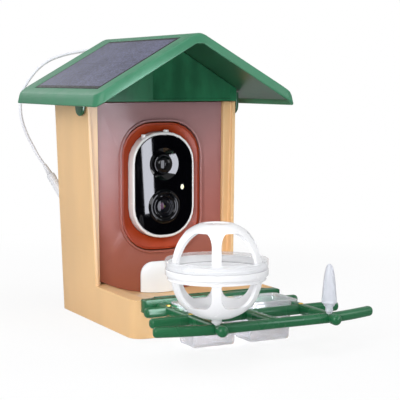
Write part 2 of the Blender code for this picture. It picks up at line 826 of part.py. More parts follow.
# Window and gate.
def make_window():
    back = PANE_FRONT - PANE_THICK
    bottom = trough_loop(inside=GAP)
    foot = PANE_HALF_LOW
    loop = bottom + [
        (foot, TROUGH_END_Z), (foot, LEDGE_Z + GAP * 3 + OVERLAP * 2),
        (PANE_HALF_HIGH, PANE_TOP), (-PANE_HALF_HIGH, PANE_TOP),
        (-foot, LEDGE_Z + GAP * 3 + OVERLAP * 2), (-foot, TROUGH_END_Z)]
    loop = [point for index, point in enumerate(loop) if index == 0 or point != loop[index - 1]]
    corners = (FEED_CORNER_LOW,) * 2 + (FEED_CORNER_HIGH,) * 2
    mouth = rounded((-FEED_HALF, FEED_LOW), (FEED_HALF, FEED_HIGH), corners, 3)
    opening = pill(OPENING_HALF - COLLAR, OPENING_LOW + COLLAR, OPENING_HIGH - COLLAR,
                   OPENING_CORNER - COLLAR)
    item = slab("front_window", [loop, opening, mouth], "Y", depth(PANE_FRONT), depth(back), "smoke")
    outer = pill(OPENING_HALF, OPENING_LOW, OPENING_HIGH, OPENING_CORNER)
    join(item, slab("window_collar", [outer, opening], "Y", depth(PANE_FRONT + COLLAR_PROUD),
                    depth(COLLAR_BACK)))
    return item


def make_gate():
    front = PANE_FRONT + GAP + GATE_THICK
    end = math.degrees(math.asin(GATE_HALF / (TROUGH_RADIUS - GAP)))
    middle = (0, TROUGH_LOW + TROUGH_RADIUS)
    plate = arc(middle, TROUGH_RADIUS - GAP, 270 - end, 270 + end, 6)
    plate.extend(arc((GATE_HALF - GATE_CORNER, GATE_HIGH - GATE_CORNER), GATE_CORNER, 0, 90, 6))
    plate.extend(arc((GATE_CORNER - GATE_HALF, GATE_HIGH - GATE_CORNER), GATE_CORNER, 90, 180, 6))
    item = slab("feed_gate", [plate], "Y", depth(front), depth(PANE_FRONT + GAP), "white")
    low = FEED_LOW + GAP * 2
    back = PANE_FRONT - PANE_THICK - GAP
    web = box("gate_web", (-GATE_WEB_HALF, depth(PANE_FRONT + GATE_THICK / 2), low),
              (GATE_WEB_HALF, depth(back - GATE_FLANGE / 2), low + GATE_WEB_HIGH))
    join(item, web)
    flange = box("gate_flange", (-GATE_FLANGE_HALF, depth(back), low - GAP),
                 (GATE_FLANGE_HALF, depth(back - GATE_FLANGE), low + GATE_FLANGE_HIGH))
    join(item, flange)
    return item


# Camera.
def camera_top(x):
    """Height of the camera's rounded top at a side position."""
    out = max(abs(x) - (CAMERA_HALF - CAMERA_CORNER), 0)
    return CAMERA_HIGH - CAMERA_CORNER + math.sqrt(CAMERA_CORNER ** 2 - out ** 2)


def make_camera():
    body = pill(CAMERA_HALF, CAMERA_LOW, CAMERA_HIGH, CAMERA_CORNER)
    item = slab("camera_shell", [body], "Y", depth(CAMERA_FRONT), depth(CAMERA_BACK), "white")
    weld(item)
    bevel(item, CAMERA_EDGE, 2, 60)
    middle = (CAMERA_LOW + CAMERA_HIGH) / 2
    well = pill(FACE_HALF - CAMERA_EDGE, middle - FACE_HALF_HIGH, middle + FACE_HALF_HIGH,
                CAMERA_CORNER - CAMERA_EDGE * 2)
    cut(item, slab("face_well", [well], "Y", depth(CAMERA_FRONT + CUT_MARGIN),
                   depth(CAMERA_FRONT - FACE_DEPTH)))
    cut(item, rod("barrel_well", (0, depth(CAMERA_FRONT), LENS_Z), "Y",
                  LENS_SINK + GAP * 2, BEZEL_RADIUS, sides=FINE_SIDES))
    for index, (x, d) in enumerate(BUTTONS):
        cut(item, rod(f"button_well_{index}", (x, depth(d), camera_top(x) - BUTTON_WELL), "Z",
                      CUT_MARGIN, BUTTON_RADIUS + GAP, sides=KNOB_SIDES))
    make_face(middle)
    make_lens()
    make_buttons()


def make_face(middle):
    edge = GAP + CAMERA_EDGE
    loop = pill(FACE_HALF - edge, middle - FACE_HALF_HIGH + GAP, middle + FACE_HALF_HIGH - GAP,
                CAMERA_CORNER - CAMERA_EDGE * 2 - GAP)
    front = CAMERA_FRONT + FACE_PROUD
    back = CAMERA_FRONT - FACE_DEPTH + GAP
    item = slab("camera_face", [loop], "Y", depth(front), depth(back), "black")
    weld(item)
    bevel(item, FACE_PROUD, 1, 60)
    dish = rod("dish_cut", (0, depth(front) - OVERLAP, DOME_Z), "Y", OVERLAP + DISH_DEPTH,
               DISH_RADIUS * DISH_RIM_SHARE, tip=DISH_RADIUS * DISH_FLOOR_SHARE, sides=FINE_SIDES)
    cut(item, dish)
    cut(item, rod("bezel_cut", (0, depth(front) - OVERLAP, LENS_Z), "Y",
                  OVERLAP * 2 + FACE_DEPTH + FACE_PROUD, BEZEL_RADIUS + GAP, sides=FINE_SIDES))
    led = rounded((LED_SIDE - LED_WIDE / 2 - GAP, LED_Z - LED_HIGH / 2 - GAP),
                  (LED_SIDE + LED_WIDE / 2 + GAP, LED_Z + LED_HIGH / 2 + GAP), LED_CORNER, 3)
    cut(item, slab("led_cut", [led], "Y", depth(front + OVERLAP), depth(front - OVERLAP)))
    light = rounded((LED_SIDE - LED_WIDE / 2, LED_Z - LED_HIGH / 2),
                    (LED_SIDE + LED_WIDE / 2, LED_Z + LED_HIGH / 2), LED_CORNER - GAP, 3)
    slab("status_light", [light], "Y", depth(front + GAP / 2), depth(front - OVERLAP + GAP), "frost")
    return item


def facing(item, centre):
    """Turn a part that was turned about Z so that its top faces forward."""
    item.location = centre
    item.rotation_euler = (math.radians(90), 0, 0)
    return item


def make_lens():
    seat = CAMERA_FRONT + FACE_PROUD - DISH_DEPTH + GAP
    dome = [(0, DOME_RISE)]
    for step in range(1, DOME_STEPS):
        angle = math.radians(90 - 90 * step / DOME_STEPS)
        dome.append((DOME_RADIUS * math.cos(angle), DOME_RISE * math.sin(angle)))
    dome.append((DOME_RADIUS, 0))
    dome.append((0, 0))
    facing(turned("sensor_dome", dome, (0, 0, 0), "black"), (0, depth(seat), DOME_Z))
    front = BEZEL_RISE
    sink = LENS_SINK + FACE_PROUD
    ring = (
        (BEZEL_INNER, front), (BEZEL_RADIUS - EDGE_ROUND, front),
        (BEZEL_RADIUS - GAP, front - EDGE_ROUND), (BEZEL_RADIUS - GAP, -sink),
        (BEZEL_INNER, -sink))
    spot = (0, depth(CAMERA_FRONT + FACE_PROUD), LENS_Z)
    facing(closed_profile("lens_bezel", ring, (0, 0, 0), "black"), spot)
    inner = BEZEL_INNER - GAP
    barrel = (
        (BARREL_INNER, 0), (inner, front - EDGE_ROUND), (inner, -sink), (BARREL_INNER, -sink))
    facing(closed_profile("lens_barrel", barrel, (0, 0, 0), "lens"), spot)
    glass = []
    for step in range(GLASS_STEPS + 1):
        share = step / GLASS_STEPS
        glass.append((GLASS_RADIUS * share, -GLASS_SINK - GLASS_SAG * share ** 2))
    glass.extend(((GLASS_RADIUS, -sink), (0, -sink)))
    facing(turned("lens_glass", glass, (0, 0, 0), "lens"), spot)


def make_buttons():
    for name, (x, d) in zip(("button_left", "button_right"), BUTTONS):
        low = camera_top(x) - BUTTON_WELL + BUTTON_TRAVEL + GAP
        high = camera_top(x) + BUTTON_RISE - low
        profile = (
            (0, high), (BUTTON_RADIUS - EDGE_ROUND, high), (BUTTON_RADIUS, high - EDGE_ROUND),
            (BUTTON_RADIUS, 0), (0, 0))
        turned(name, profile, (x, depth(d), low), "white", KNOB_SIDES)


# Roof.
def roof_top(x):
    """Height of the outer roof surface, its ridge rounded."""
    sine = math.sin(math.atan(ROOF_FALL_SHARE))
    cosine = math.cos(math.atan(ROOF_FALL_SHARE))
    reach = RIDGE_ROUND * sine
    if abs(x) >= reach:
        return RIDGE_Z - ROOF_FALL_SHARE * abs(x)
    middle = RIDGE_Z - RIDGE_ROUND / cosine
    return middle + math.sqrt(RIDGE_ROUND ** 2 - x ** 2)


def fascia_low(x):
    return max(FASCIA_LOW, min(FASCIA_TOP, FASCIA_Z - FASCIA_FALL_SHARE * abs(x)))


def roof_stations(half, corner):
    """Side positions across the roof and how far each stands back from the front edge."""
    stations = []
    for step in range(CORNER_STEPS + 1):
        angle = math.radians(90 * step / CORNER_STEPS)
        stations.append((-half + corner * (1 - math.cos(angle)), corner * (1 - math.sin(angle))))
    reach = RIDGE_ROUND * math.sin(math.atan(ROOF_FALL_SHARE))
    low = (FASCIA_Z - FASCIA_TOP) / FASCIA_FALL_SHARE
    middle = [-reach, -low, -reach * RIDGE_SPLIT_SHARE, 0, reach * RIDGE_SPLIT_SHARE, low, reach]
    right = [(-x, back) for x, back in reversed(stations)]
    return stations + [(x, 0) for x in sorted(middle)] + right


def roof_loop(inset, height_at):
    """One ring of the roof, front edge left to right then rear edge right to left."""
    scale = (ROOF_HALF - inset) / ROOF_HALF
    front = []
    rear = []
    for x, back in roof_stations(ROOF_HALF, ROOF_CORNER):
        spot = x * scale
        height = height_at(spot)
        front.append((spot, depth(ROOF_FRONT - inset - back * scale), height))
        rear.append((spot, depth(ROOF_REAR + inset + back * scale), height))
    return front, rear


def make_roof_shell():
    shape = bmesh.new()
    rows = []
    edge = ROOF_EDGE
    ease = ROOF_EDGE * ROOF_EASE_SHARE
    levels = (
        (edge, lambda x: roof_top(x)),
        (ease, lambda x: roof_top(x) - ease),
        (0, lambda x: roof_top(x) - edge),
        (-ROOF_FLARE, fascia_low),
    )
    for inset, height_at in levels:
        front, rear = roof_loop(inset, height_at)
        rows.append([shape.verts.new(point) for point in front + rear[::-1]])
    count = len(rows[0])
    for high, low in zip(rows, rows[1:]):
        for index in range(count):
            after = (index + 1) % count
            shape.faces.new((low[index], low[after], high[after], high[index]))
    top = rows[0]
    for index in range(count // 2 - 1):
        other = count - 1 - index
        shape.faces.new((top[index], top[index + 1], top[other - 1], top[other]))
    item = place("roof_shell", to_mesh("roof_shell", shape), "roof")
    solid = item.modifiers.new("wall", "SOLIDIFY")
    solid.thickness = ROOF_THICK
    solid.offset = -1
    solid.use_even_offset = True
    cut(item, panel_block("cut_panel", -PANEL_SINK, CUT_MARGIN, 0))
    spot = depth(ROOF_REAR + CUT_MARGIN)
    cut(item, rod("cut_outlet", (OUTLET_SIDE, spot, OUTLET_Z), "Y", CUT_MARGIN * 3, OUTLET_RADIUS,
                  sides=KNOB_SIDES))
    return item


def panel_block(name, low, high, inset, look=None):
    """A block lying on the left roof slope between two heights above its plane."""
    run = math.atan(ROOF_FALL_SHARE)
    sine = math.sin(run)
    cosine = math.cos(run)
    corners = []
    for x, d in ((PANEL_LEFT + inset, PANEL_FRONT - inset), (PANEL_RIGHT - inset, PANEL_FRONT - inset),
                 (PANEL_RIGHT - inset, PANEL_REAR + inset), (PANEL_LEFT + inset, PANEL_REAR + inset)):
        corners.append((x, d, RIDGE_Z - ROOF_FALL_SHARE * abs(x)))
    rings = []
    for rise in (low, high):
        rings.append([(x - rise * sine, depth(d), z + rise * cosine) for x, d, z in corners])
    return loft(name, rings, look)


def make_solar_panel():
    item = panel_block("solar_panel", -PANEL_SINK + GAP, -PANEL_SINK + GAP + PANEL_THICK, GAP, "solar")
    return bevel(item, GAP, 1)


def liner_low(x):
    return min(LINER_FLAT_Z, LINER_Z - LINER_FALL_SHARE * abs(x))


def make_roof_liner():
    bend = (LINER_Z - LINER_FLAT_Z) / LINER_FALL_SHARE
    rise = LINER_THICK * math.sqrt(1 + LINER_FALL_SHARE ** 2)
    xs = (-LINER_HALF, -bend, bend, LINER_HALF)
    loop = [(x, liner_low(x)) for x in xs] + [(x, liner_low(x) + rise) for x in reversed(xs)]
    return slab("roof_liner", [loop], "Y", depth(LINER_FRONT), depth(LINER_REAR), "liner")


def gable_loop(half, low, drop):
    bend = (LINER_Z - LINER_FLAT_Z) / LINER_FALL_SHARE
    top = [(x, liner_low(x) - drop) for x in (half, bend, -bend, -half)]
    return [(-half, low), (half, low)] + top


def make_gable_collar():
    rise = GAP * math.sqrt(1 + LINER_FALL_SHARE ** 2)
    item = slab("gable_collar", [gable_loop(GABLE_HALF, GABLE_LOW, rise)], "Y",
                depth(GABLE_FRONT), depth(GABLE_REAR), "liner")
    inner = rounded((-GABLE_HALF + GABLE_WALL, depth(GABLE_FRONT - GABLE_WALL)),
                    (GABLE_HALF - GABLE_WALL, depth(GABLE_REAR + GABLE_WALL)), GABLE_ROUND, 3)
    cut(item, slab("cut_gable", [inner], "Z", GABLE_LOW - CUT_MARGIN, RIDGE_Z))
    step = box("cut_gable_step", (STEP_SIDE, depth(GABLE_FRONT + CUT_MARGIN), GABLE_LOW + GABLE_WALL),
               (GABLE_HALF - GABLE_WALL * 3, depth(GABLE_FRONT - STEP_DEEP), GABLE_LOW + STEP_HIGH))
    cut(item, step)
    return item


def make_hinge_leaf():
    back = LEAF_FRONT - LEAF_THICK
    item = box("hinge_leaf", (-LEAF_HALF, depth(LEAF_FRONT), LEAF_LOW),
               (LEAF_HALF, depth(back), LEAF_HIGH), "liner")
    for index, centre in enumerate((-HINGE_OUT, HINGE_OUT)):
        low = centre - LEAF_KNUCKLE / 2
        high = centre + LEAF_KNUCKLE / 2
        join(item, box(f"leaf_arm_{index}", (low, depth(LEAF_FRONT) + GAP / 3, HINGE_Z),
                       (high, depth(LEAF_FRONT - LEAF_ARM_THICK), LEAF_HIGH - OVERLAP)))
        join(item, rod(f"leaf_knuckle_{index}", (low, depth(HINGE_DEPTH), HINGE_Z), "X",
                       LEAF_KNUCKLE, KNUCKLE, sides=KNOB_SIDES))
        cut(item, rod(f"leaf_bore_{index}", (low - OVERLAP, depth(HINGE_DEPTH), HINGE_Z), "X",
                      LEAF_KNUCKLE + OVERLAP * 2, KNUCKLE_BORE))
    return item


def make_hinge_pins():
    for name, centre in (("hinge_pin_left", -HINGE_OUT), ("hinge_pin_right", HINGE_OUT)):
        reach = LEAF_KNUCKLE / 2 + GAP + LUG_WIDE
        item = rod(name, (centre - reach - GAP - PIN_HEAD_THICK, depth(HINGE_DEPTH), HINGE_Z), "X",
                   reach * 2 + GAP + PIN_HEAD_THICK + PRESS, PIN_RADIUS, "steel")
        head = rod(f"{name}_head", (centre - reach - GAP - PIN_HEAD_THICK, depth(HINGE_DEPTH), HINGE_Z),
                   "X", PIN_HEAD_THICK, PIN_HEAD)
        join(item, head)


def make_tabs():
    for name, side in (("roof_tab_left", -1), ("roof_tab_right", 1)):
        loop = rounded((depth(TAB_FRONT), TAB_LOW), (depth(TAB_BACK), TAB_HIGH),
                       (TAB_ROUND, TAB_ROUND, TAB_TOP_ROUND, TAB_TOP_ROUND))
        low = min(side * TAB_IN, side * (TAB_IN + TAB_THICK))
        item = slab(name, [loop], "X", low, low + TAB_THICK, "roof")
        weld(item)
        bevel(item, EDGE_ROUND, 1, 60)


# Back pad, port, cord.
def make_wall_pad():
    loop = rounded((-PAD_HALF, PAD_LOW), (PAD_HALF, PAD_HIGH), PAD_CORNER)
    rings = [
        [(x, depth(-BACK_LEAN_SHARE * z - GAP), z) for x, z in loop],
        [(x, depth(PAD_BACK), z) for x, z in loop]]
    item = loft("wall_pad", rings, "amber")
    for index, x in enumerate((-KEY_OUT, KEY_OUT)):
        head = rod(f"key_head_{index}", (x, depth(PAD_BACK + KEY_DEPTH), KEY_Z), "Y", CUT_MARGIN,
                   KEY_WIDE)
        cut(item, head)
        cut(item, box(f"key_slot_{index}", (x - KEY_SLOT, depth(PAD_BACK + KEY_DEPTH), KEY_Z),
                      (x + KEY_SLOT, depth(PAD_BACK - CUT_MARGIN), KEY_Z + KEY_RISE)))


def plug_frame():
    """Where the plug enters the port boot and the way it points, both from the cord's end."""
    end = CORD_ROUTE[-1]
    mouth = (PORT_SIDE, PORT_MOUTH_DEPTH, PORT_Z + PORT_MOUTH_RISE)
    way = [mouth[0] - end[0], -(mouth[1] - end[1]), mouth[2] - end[2]]
    size = math.sqrt(sum(value * value for value in way))
    return (end[0], depth(end[1]), end[2]), [value / size for value in way], size


def aimed(name, along, length, radius, look, tip=None, sides=KNOB_SIDES):
    """A cylinder or cone on the plug's line, starting that far along it."""
    start, way, _ = plug_frame()
    item = rod(name, (0, 0, 0), "Z", length, radius, look, tip, sides)
    across = math.atan2(math.hypot(way[0], way[1]), way[2])
    around = math.atan2(way[1], way[0])
    item.rotation_euler = (0, across, around)
    item.location = tuple(start[axis] + way[axis] * along for axis in range(3))
    return item


def make_port():
    _, _, size = plug_frame()
    wall = -BACK_LEAN_SHARE * (PORT_Z - PORT_FLANGE)
    item = rod("charge_port", (PORT_SIDE, depth(wall) + GAP * 2, PORT_Z), "Y",
               PORT_FLANGE_THICK, PORT_FLANGE, "rubber", tip=PORT_FLANGE * PORT_FLANGE_TIP_SHARE,
               sides=FINE_SIDES)
    spigot = rod("port_spigot", (PORT_SIDE, depth(BACK_WALL * PORT_FOOT_SHARE), PORT_Z), "Y",
                 BACK_WALL + OVERLAP * 2, PORT_RADIUS, sides=KNOB_SIDES)
    join(item, spigot)
    boot = aimed("port_boot", size - OVERLAP, OVERLAP * 13, PORT_RADIUS * PORT_BOOT_SHARE, None)
    join(item, boot)
    foot = depth(BACK_WALL * PORT_FOOT_SHARE)
    inside = box("port_trim", (PORT_SIDE - CUT_MARGIN * 2, depth(CUT_MARGIN * 3), PORT_Z - CUT_MARGIN * 3),
                 (PORT_SIDE + CUT_MARGIN * 2, foot, PORT_Z + CUT_MARGIN * 3))
    cut(item, inside)
    well = aimed("port_well", -OVERLAP, size + OVERLAP * 4, PLUG_RADIUS + GAP, None)
    cut(item, well)
    return item


def make_plug():
    _, _, size = plug_frame()
    tip = CORD_RADIUS * RELIEF_TIP_SHARE
    relief = aimed("cable_relief", GAP, RELIEF_LENGTH, tip, "cord", RELIEF_RADIUS)
    smooth(relief)
    body = size - RELIEF_LENGTH - GAP * 2 + OVERLAP * 2
    plug = aimed("cable_plug", RELIEF_LENGTH + GAP * 2, body, PLUG_RADIUS, "cord")
    bevel(plug, EDGE_ROUND, 2, 60)
    return plug


def make_outlet():
    start = depth(ROOF_REAR) - OVERLAP * 2
    reach = ROOF_FLARE + OVERLAP * 3.5
    item = rod("cable_outlet", (OUTLET_SIDE, start, OUTLET_Z), "Y", reach, OUTLET_RADIUS - GAP, "rubber",
               sides=KNOB_SIDES)
    cut(item, rod("outlet_bore", (OUTLET_SIDE, start - OVERLAP, OUTLET_Z), "Y", reach + OVERLAP * 2,
                  CORD_RADIUS + GAP))
    return item


def smooth_route():
    """Points of a smooth curve through the cord's route."""
    route = [(x, depth(d), z) for x, d, z in CORD_ROUTE]
    points = []
    for index in range(len(route) - 1):
        before = route[max(index - 1, 0)]
        first = route[index]
        second = route[index + 1]
        after = route[min(index + 2, len(route) - 1)]
        for step in range(CORD_STEPS):
            t = step / CORD_STEPS
            point = []
            for axis in range(3):
                a, b, c, d = before[axis], first[axis], second[axis], after[axis]
                value = 2 * b + (c - a) * t + (2 * a - 5 * b + 4 * c - d) * t * t
                value += (3 * b - a - 3 * c + d) * t ** 3
                point.append(value / 2)
            points.append(tuple(point))
    points.append(route[-1])
    return points


def make_cord():
    curve = bpy.data.curves.new("solar_cable", "CURVE")
    curve.dimensions = "3D"
    curve.bevel_depth = CORD_RADIUS
    curve.bevel_resolution = 2
    curve.use_fill_caps = True
    points = smooth_route()
    spline = curve.splines.new("POLY")
    spline.points.add(len(points) - 1)
    for target, point in zip(spline.points, points):
        target.co = (*point, 1)
    item = bpy.data.objects.new("solar_cable", curve)
    PARTS.objects.link(item)
    curve.materials.append(material("cord"))
    return item


# Perch.
def make_clamp():
    loop = rounded((-CLAMP_HALF, CLAMP_LOW), (CLAMP_HALF, CLAMP_HIGH),
                   (CLAMP_FOOT_CORNER, CLAMP_FOOT_CORNER, CLAMP_CORNER, CLAMP_CORNER))
    item = slab("perch_clamp", [loop], "Y", depth(CLAMP_FRONT), depth(CLAMP_BACK), "perch")
    low = RIM_Z + GAP
    join(item, box("clamp_hook", (-HOOK_HALF, depth(CLAMP_BACK + OVERLAP * 2), low),
                   (HOOK_HALF, depth(HOOK_BACK - HOOK_LIP), CLAMP_HIGH - GAP)))
    join(item, box("clamp_lip", (-HOOK_LIP_HALF, depth(HOOK_BACK - GAP), HOOK_LIP_LOW),
                 (HOOK_LIP_HALF, depth(HOOK_BACK - HOOK_LIP), low + OVERLAP)))
    return item


def perch_outer():
    """The ladder's outer edge in plan, right half from front to back, then mirrored."""
    half = BAR_HALF
    run = FRONT_HALF - STRUT_OUT - half
    tilt = math.atan2(FRONT_SWEEP, run)
    tip_x = FRONT_HALF - half
    tip_d = FRONT_BAR - FRONT_SWEEP
    nub = arc((STRUT_OUT, NUB_FRONT - half), half, 180, 0, 6)
    right = [(x, d) for x, d in nub]
    right.append((STRUT_OUT + half, FRONT_BAR + half))
    start = 90 - math.degrees(tilt)
    right.extend(arc((tip_x, tip_d), half, start, start - 180, 5))
    right.append((STRUT_OUT + half, FRONT_BAR - half))
    right.append((STRUT_OUT + half, MID_BAR + half))
    right.extend(arc((MID_HALF - half, MID_BAR), half, 90, -90, 5))
    right.append((STRUT_OUT + half, MID_BAR - half))
    right.append((STRUT_OUT + half, REAR_BAR + half))
    right.extend(arc((REAR_HALF - half, REAR_BAR), half, 90, -90, 5))
    right.append((STRUT_OUT + half, REAR_BAR - half))
    right.append((STRUT_OUT + half, CLAMP_FRONT + GAP))
    right.append((STRUT_OUT - half, CLAMP_FRONT + GAP))
    right.append((STRUT_OUT - half, REAR_BAR - half))
    left = [(-x, d) for x, d in reversed(right)]
    front_right = [(STRUT_OUT - half, FRONT_BAR + half)]
    front_left = [(-STRUT_OUT + half, FRONT_BAR + half)]
    return right + left + front_left + front_right


def make_frame():
    half = BAR_HALF
    inner = STRUT_OUT - half
    holes = [
        [(-inner, REAR_BAR + half), (inner, REAR_BAR + half), (inner, MID_BAR - half),
         (-inner, MID_BAR - half)],
        [(-inner, MID_BAR + half), (-half, MID_BAR + half), (-half, FRONT_BAR - half),
         (-inner, FRONT_BAR - half)],
        [(half, MID_BAR + half), (inner, MID_BAR + half), (inner, FRONT_BAR - half),
         (half, FRONT_BAR - half)],
    ]
    loops = [
        [(x, depth(d)) for x, d in soften(loop, BAR_ROUND)] for loop in [perch_outer(), *holes]]
    item = slab("perch_frame", loops, "Z", BAR_TOP - BAR_HIGH, BAR_TOP, "perch")
    weld(item)
    bevel(item, BAR_EDGE, 2, 60)
    for index, (x, d) in enumerate(brass_spots()):
        cut(item, rod(f"brass_bore_{index}", (x, depth(d), BAR_TOP - BRASS_DEEP), "Z", CUT_MARGIN,
                      BRASS_RADIUS + GAP))
    for name, x in (("ball_socket", BALL_SIDE), ("spike_socket", SPIKE_SIDE)):
        cut(item, rod(name, (x, depth(BALL_DEPTH), BAR_TOP - PEG_DEEP), "Z", CUT_MARGIN,
                      PEG_RADIUS + GAP))
    return item


def brass_spots():
    return [(x, d) for x in (-STRUT_OUT, STRUT_OUT) for d in (REAR_BAR, MID_BAR)]


def make_brass():
    for index, (x, d) in enumerate(brass_spots()):
        low = BAR_TOP - BRASS_DEEP + GAP
        high = BAR_TOP + BRASS_RISE - low
        profile = ((0, high), (BRASS_RADIUS * BRASS_FLAT_SHARE, high), (BRASS_RADIUS, high - BRASS_RISE),
                   (BRASS_RADIUS, 0), (0, 0))
        turned(f"perch_pin_{index + 1}", profile, (x, depth(d), low), "brass", ROUND_SIDES)


def make_cups():
    for name, centre in (("cup_left", -CUP_OUT), ("cup_right", CUP_OUT)):
        levels = (
            (CUP_BASE[0] - CUP_FOOT, CUP_BASE[1] - CUP_FOOT, CUP_LOW),
            (CUP_BASE[0], CUP_BASE[1], CUP_LOW + CUP_FOOT_HIGH),
            (CUP_NECK[0], CUP_NECK[1], CUP_HIGH - CUP_LIP_DROP),
            (CUP_RIM[0] - CUP_LIP_ROUND, CUP_RIM[1] - CUP_LIP_ROUND, CUP_HIGH),
            (CUP_RIM[0], CUP_RIM[1], CUP_HIGH - CUP_LIP_ROUND),
        )
        rings = []
        for half_x, half_d, z in levels:
            loop = rounded((centre - half_x, depth(CUP_DEPTH + half_d)),
                           (centre + half_x, depth(CUP_DEPTH - half_d)), CUP_CORNER, 4)
            rings.append([(x, y, z) for x, y in loop])
        item = loft(name, rings, "clear", cap_end=False, smooth=True)
        solid = item.modifiers.new("wall", "SOLIDIFY")
        solid.thickness = CUP_WALL
        solid.offset = -1
        solid.use_even_offset = True


# Fruit ball and spike.
def ball_radius(z, radius=BALL_RADIUS):
    return math.sqrt(max(radius ** 2 - (z - BALL_MID) ** 2, 0))


def ball_heights(low, high, steps):
    return [low + (high - low) * step / steps for step in range(steps + 1)]


def window_cutters(item, low, high, tag):
    inner = BALL_RADIUS * WINDOW_CUT_IN_SHARE
    outer = BALL_RADIUS * WINDOW_CUT_OUT_SHARE
    for index in range(RIB_COUNT):
        sides = []
        for turn, sign in ((index, 1), (index + 1, -1)):
            angle = RIB_AIM + math.tau * turn / RIB_COUNT
            sides.append((math.cos(angle), math.sin(angle), sign))
        (ax, ay, _), (bx, by, _) = sides
        half = RIB / 2
        loop = [
            (inner * ax - half * ay, inner * ay + half * ax),
            (outer * ax - half * ay, outer * ay + half * ax),
            (outer * bx + half * by, outer * by - half * bx),
            (inner * bx + half * by, inner * by - half * bx)]
        loop = [(BALL_SIDE + x, depth(BALL_DEPTH) + y) for x, y in loop]
        cut(item, slab(f"{tag}_{index}", [loop], "Z", low, high))


def make_ball_lower():
    flat = BALL_FLAT
    low = BALL_MID - math.sqrt(BALL_RADIUS ** 2 - flat ** 2)
    outer = [(ball_radius(z), z) for z in reversed(ball_heights(low, RING_LOW - GAP, 6))]
    stem = [(STEM_RADIUS, low - GAP), (STEM_RADIUS, BAR_TOP + GAP), (PEG_RADIUS, BAR_TOP + GAP),
            (PEG_RADIUS, BAR_TOP - PEG_DEEP + GAP), (0, BAR_TOP - PEG_DEEP + GAP)]
    inside = BALL_RADIUS - BALL_WALL
    floor = BALL_MID - math.sqrt(inside ** 2 - (flat * BALL_FLAT_IN_SHARE) ** 2)
    inner = [(ball_radius(z, inside), z) for z in ball_heights(floor, RING_LOW - GAP, 6)]
    profile = [*outer, *stem, (0, floor), *inner]
    item = closed_profile("ball_lower", profile, (BALL_SIDE, depth(BALL_DEPTH), 0), "white", BALL_SIDES)
    window_cutters(item, WINDOW_LOW, BAND_LOW, "low_window")
    return item


def make_ball_ring():
    profile = (
        (RING_RADIUS, RING_HIGH - GAP), (RING_RADIUS, RING_LOW), (RING_RADIUS - RING_WALL * 2, RING_LOW),
        (RING_RADIUS - RING_WALL * 2, RING_HIGH - GAP))
    centre = (BALL_SIDE, depth(BALL_DEPTH), 0)
    return closed_profile("ball_ring", profile, centre, "frost", BALL_SIDES)


def make_ball_upper():
    flat = BALL_FLAT
    high = BALL_MID + math.sqrt(BALL_RADIUS ** 2 - flat ** 2)
    outer = [(ball_radius(z), z) for z in reversed(ball_heights(RING_HIGH, high, 6))]
    inside = BALL_RADIUS - BALL_WALL
    roof = BALL_MID + math.sqrt(inside ** 2 - (flat * BALL_FLAT_IN_SHARE) ** 2)
    inner = [(ball_radius(z, inside), z) for z in ball_heights(RING_HIGH, roof, 6)]
    profile = [(0, high), *outer, *inner, (0, roof)]
    item = turned("ball_upper", profile, (BALL_SIDE, depth(BALL_DEPTH), 0), "white", BALL_SIDES)
    window_cutters(item, BAND_HIGH, WINDOW_HIGH, "high_window")
    return item


def make_spike():
    return turned("fruit_spike", SPIKE_PROFILE, (SPIKE_SIDE, depth(BALL_DEPTH), 0), "frost", KNOB_SIDES)


def carry(name, spot, pieces):
    """An empty on a joint's axis that carries the pieces of one moving body."""
    carrier = bpy.data.objects.new(name, None)
    PARTS.objects.link(carrier)
    carrier.location = spot
    bpy.context.view_layer.update()
    for piece in pieces:
        item = bpy.data.objects[piece]
        item.parent = carrier
        item.matrix_parent_inverse = carrier.matrix_world.inverted()


def set_axis(name, spot):
    """Put a piece's origin on its joint's axis without moving the piece."""
    item = bpy.data.objects[name]
    for vert in item.data.vertices:
        for axis in range(3):
            vert.co[axis] -= spot[axis]
    item.location = spot


def place_axes():
    camera = ("camera_shell", "camera_face", "sensor_dome", "lens_bezel", "lens_barrel", "lens_glass",
              "status_light")
    carry("camera_slide_axis", (0, depth(CAMERA_FRONT), (CAMERA_LOW + CAMERA_HIGH) / 2), camera)
    roof = ("roof_shell", "solar_panel", "roof_liner", "gable_collar", "hinge_leaf", "roof_tab_left",
            "roof_tab_right", "cable_outlet")
    carry("roof_hinge_axis", (0, depth(HINGE_DEPTH), HINGE_Z), roof)
    perch = ["perch_clamp", "perch_frame"] + [f"perch_pin_{index + 1}" for index in range(4)]
    carry("perch_lift_axis", (0, depth(CLAMP_FRONT), CLAMP_HIGH), perch)
    set_axis("feed_gate", (0, depth(PANE_FRONT + GATE_THICK), FEED_LOW))
    set_axis("cup_left", (-CUP_OUT, depth(CUP_DEPTH), CUP_LOW))
    set_axis("cup_right", (CUP_OUT, depth(CUP_DEPTH), CUP_LOW))


def main():
    make_housing()
    make_base_plate()
    make_base_screws()
    make_pocket()
    make_pocket_screws()
    make_window()
    make_gate()
    make_camera()
    make_roof_shell()
    make_solar_panel()
    make_roof_liner()
    make_gable_collar()
    make_hinge_leaf()
    make_hinge_pins()
    make_tabs()
    make_wall_pad()
    make_port()
    make_plug()
    make_outlet()
    make_cord()
    make_clamp()
    make_frame()
    make_brass()
    make_cups()
    make_ball_lower()
    make_ball_ring()
    make_ball_upper()
    make_spike()
    place_axes()


main()
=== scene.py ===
"""The look of the smart bird feeder: rounded mouldings, finishes, light and camera.

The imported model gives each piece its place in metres. The front faces -Y and the back plane
of the housing lies at +Y, so a depth is a distance forward of that back plane.
"""

import functools
import logging
import math
from dataclasses import dataclass
from enum import Enum
from typing import Callable, Sequence

import bmesh
import bpy
from mathutils import Matrix, Vector


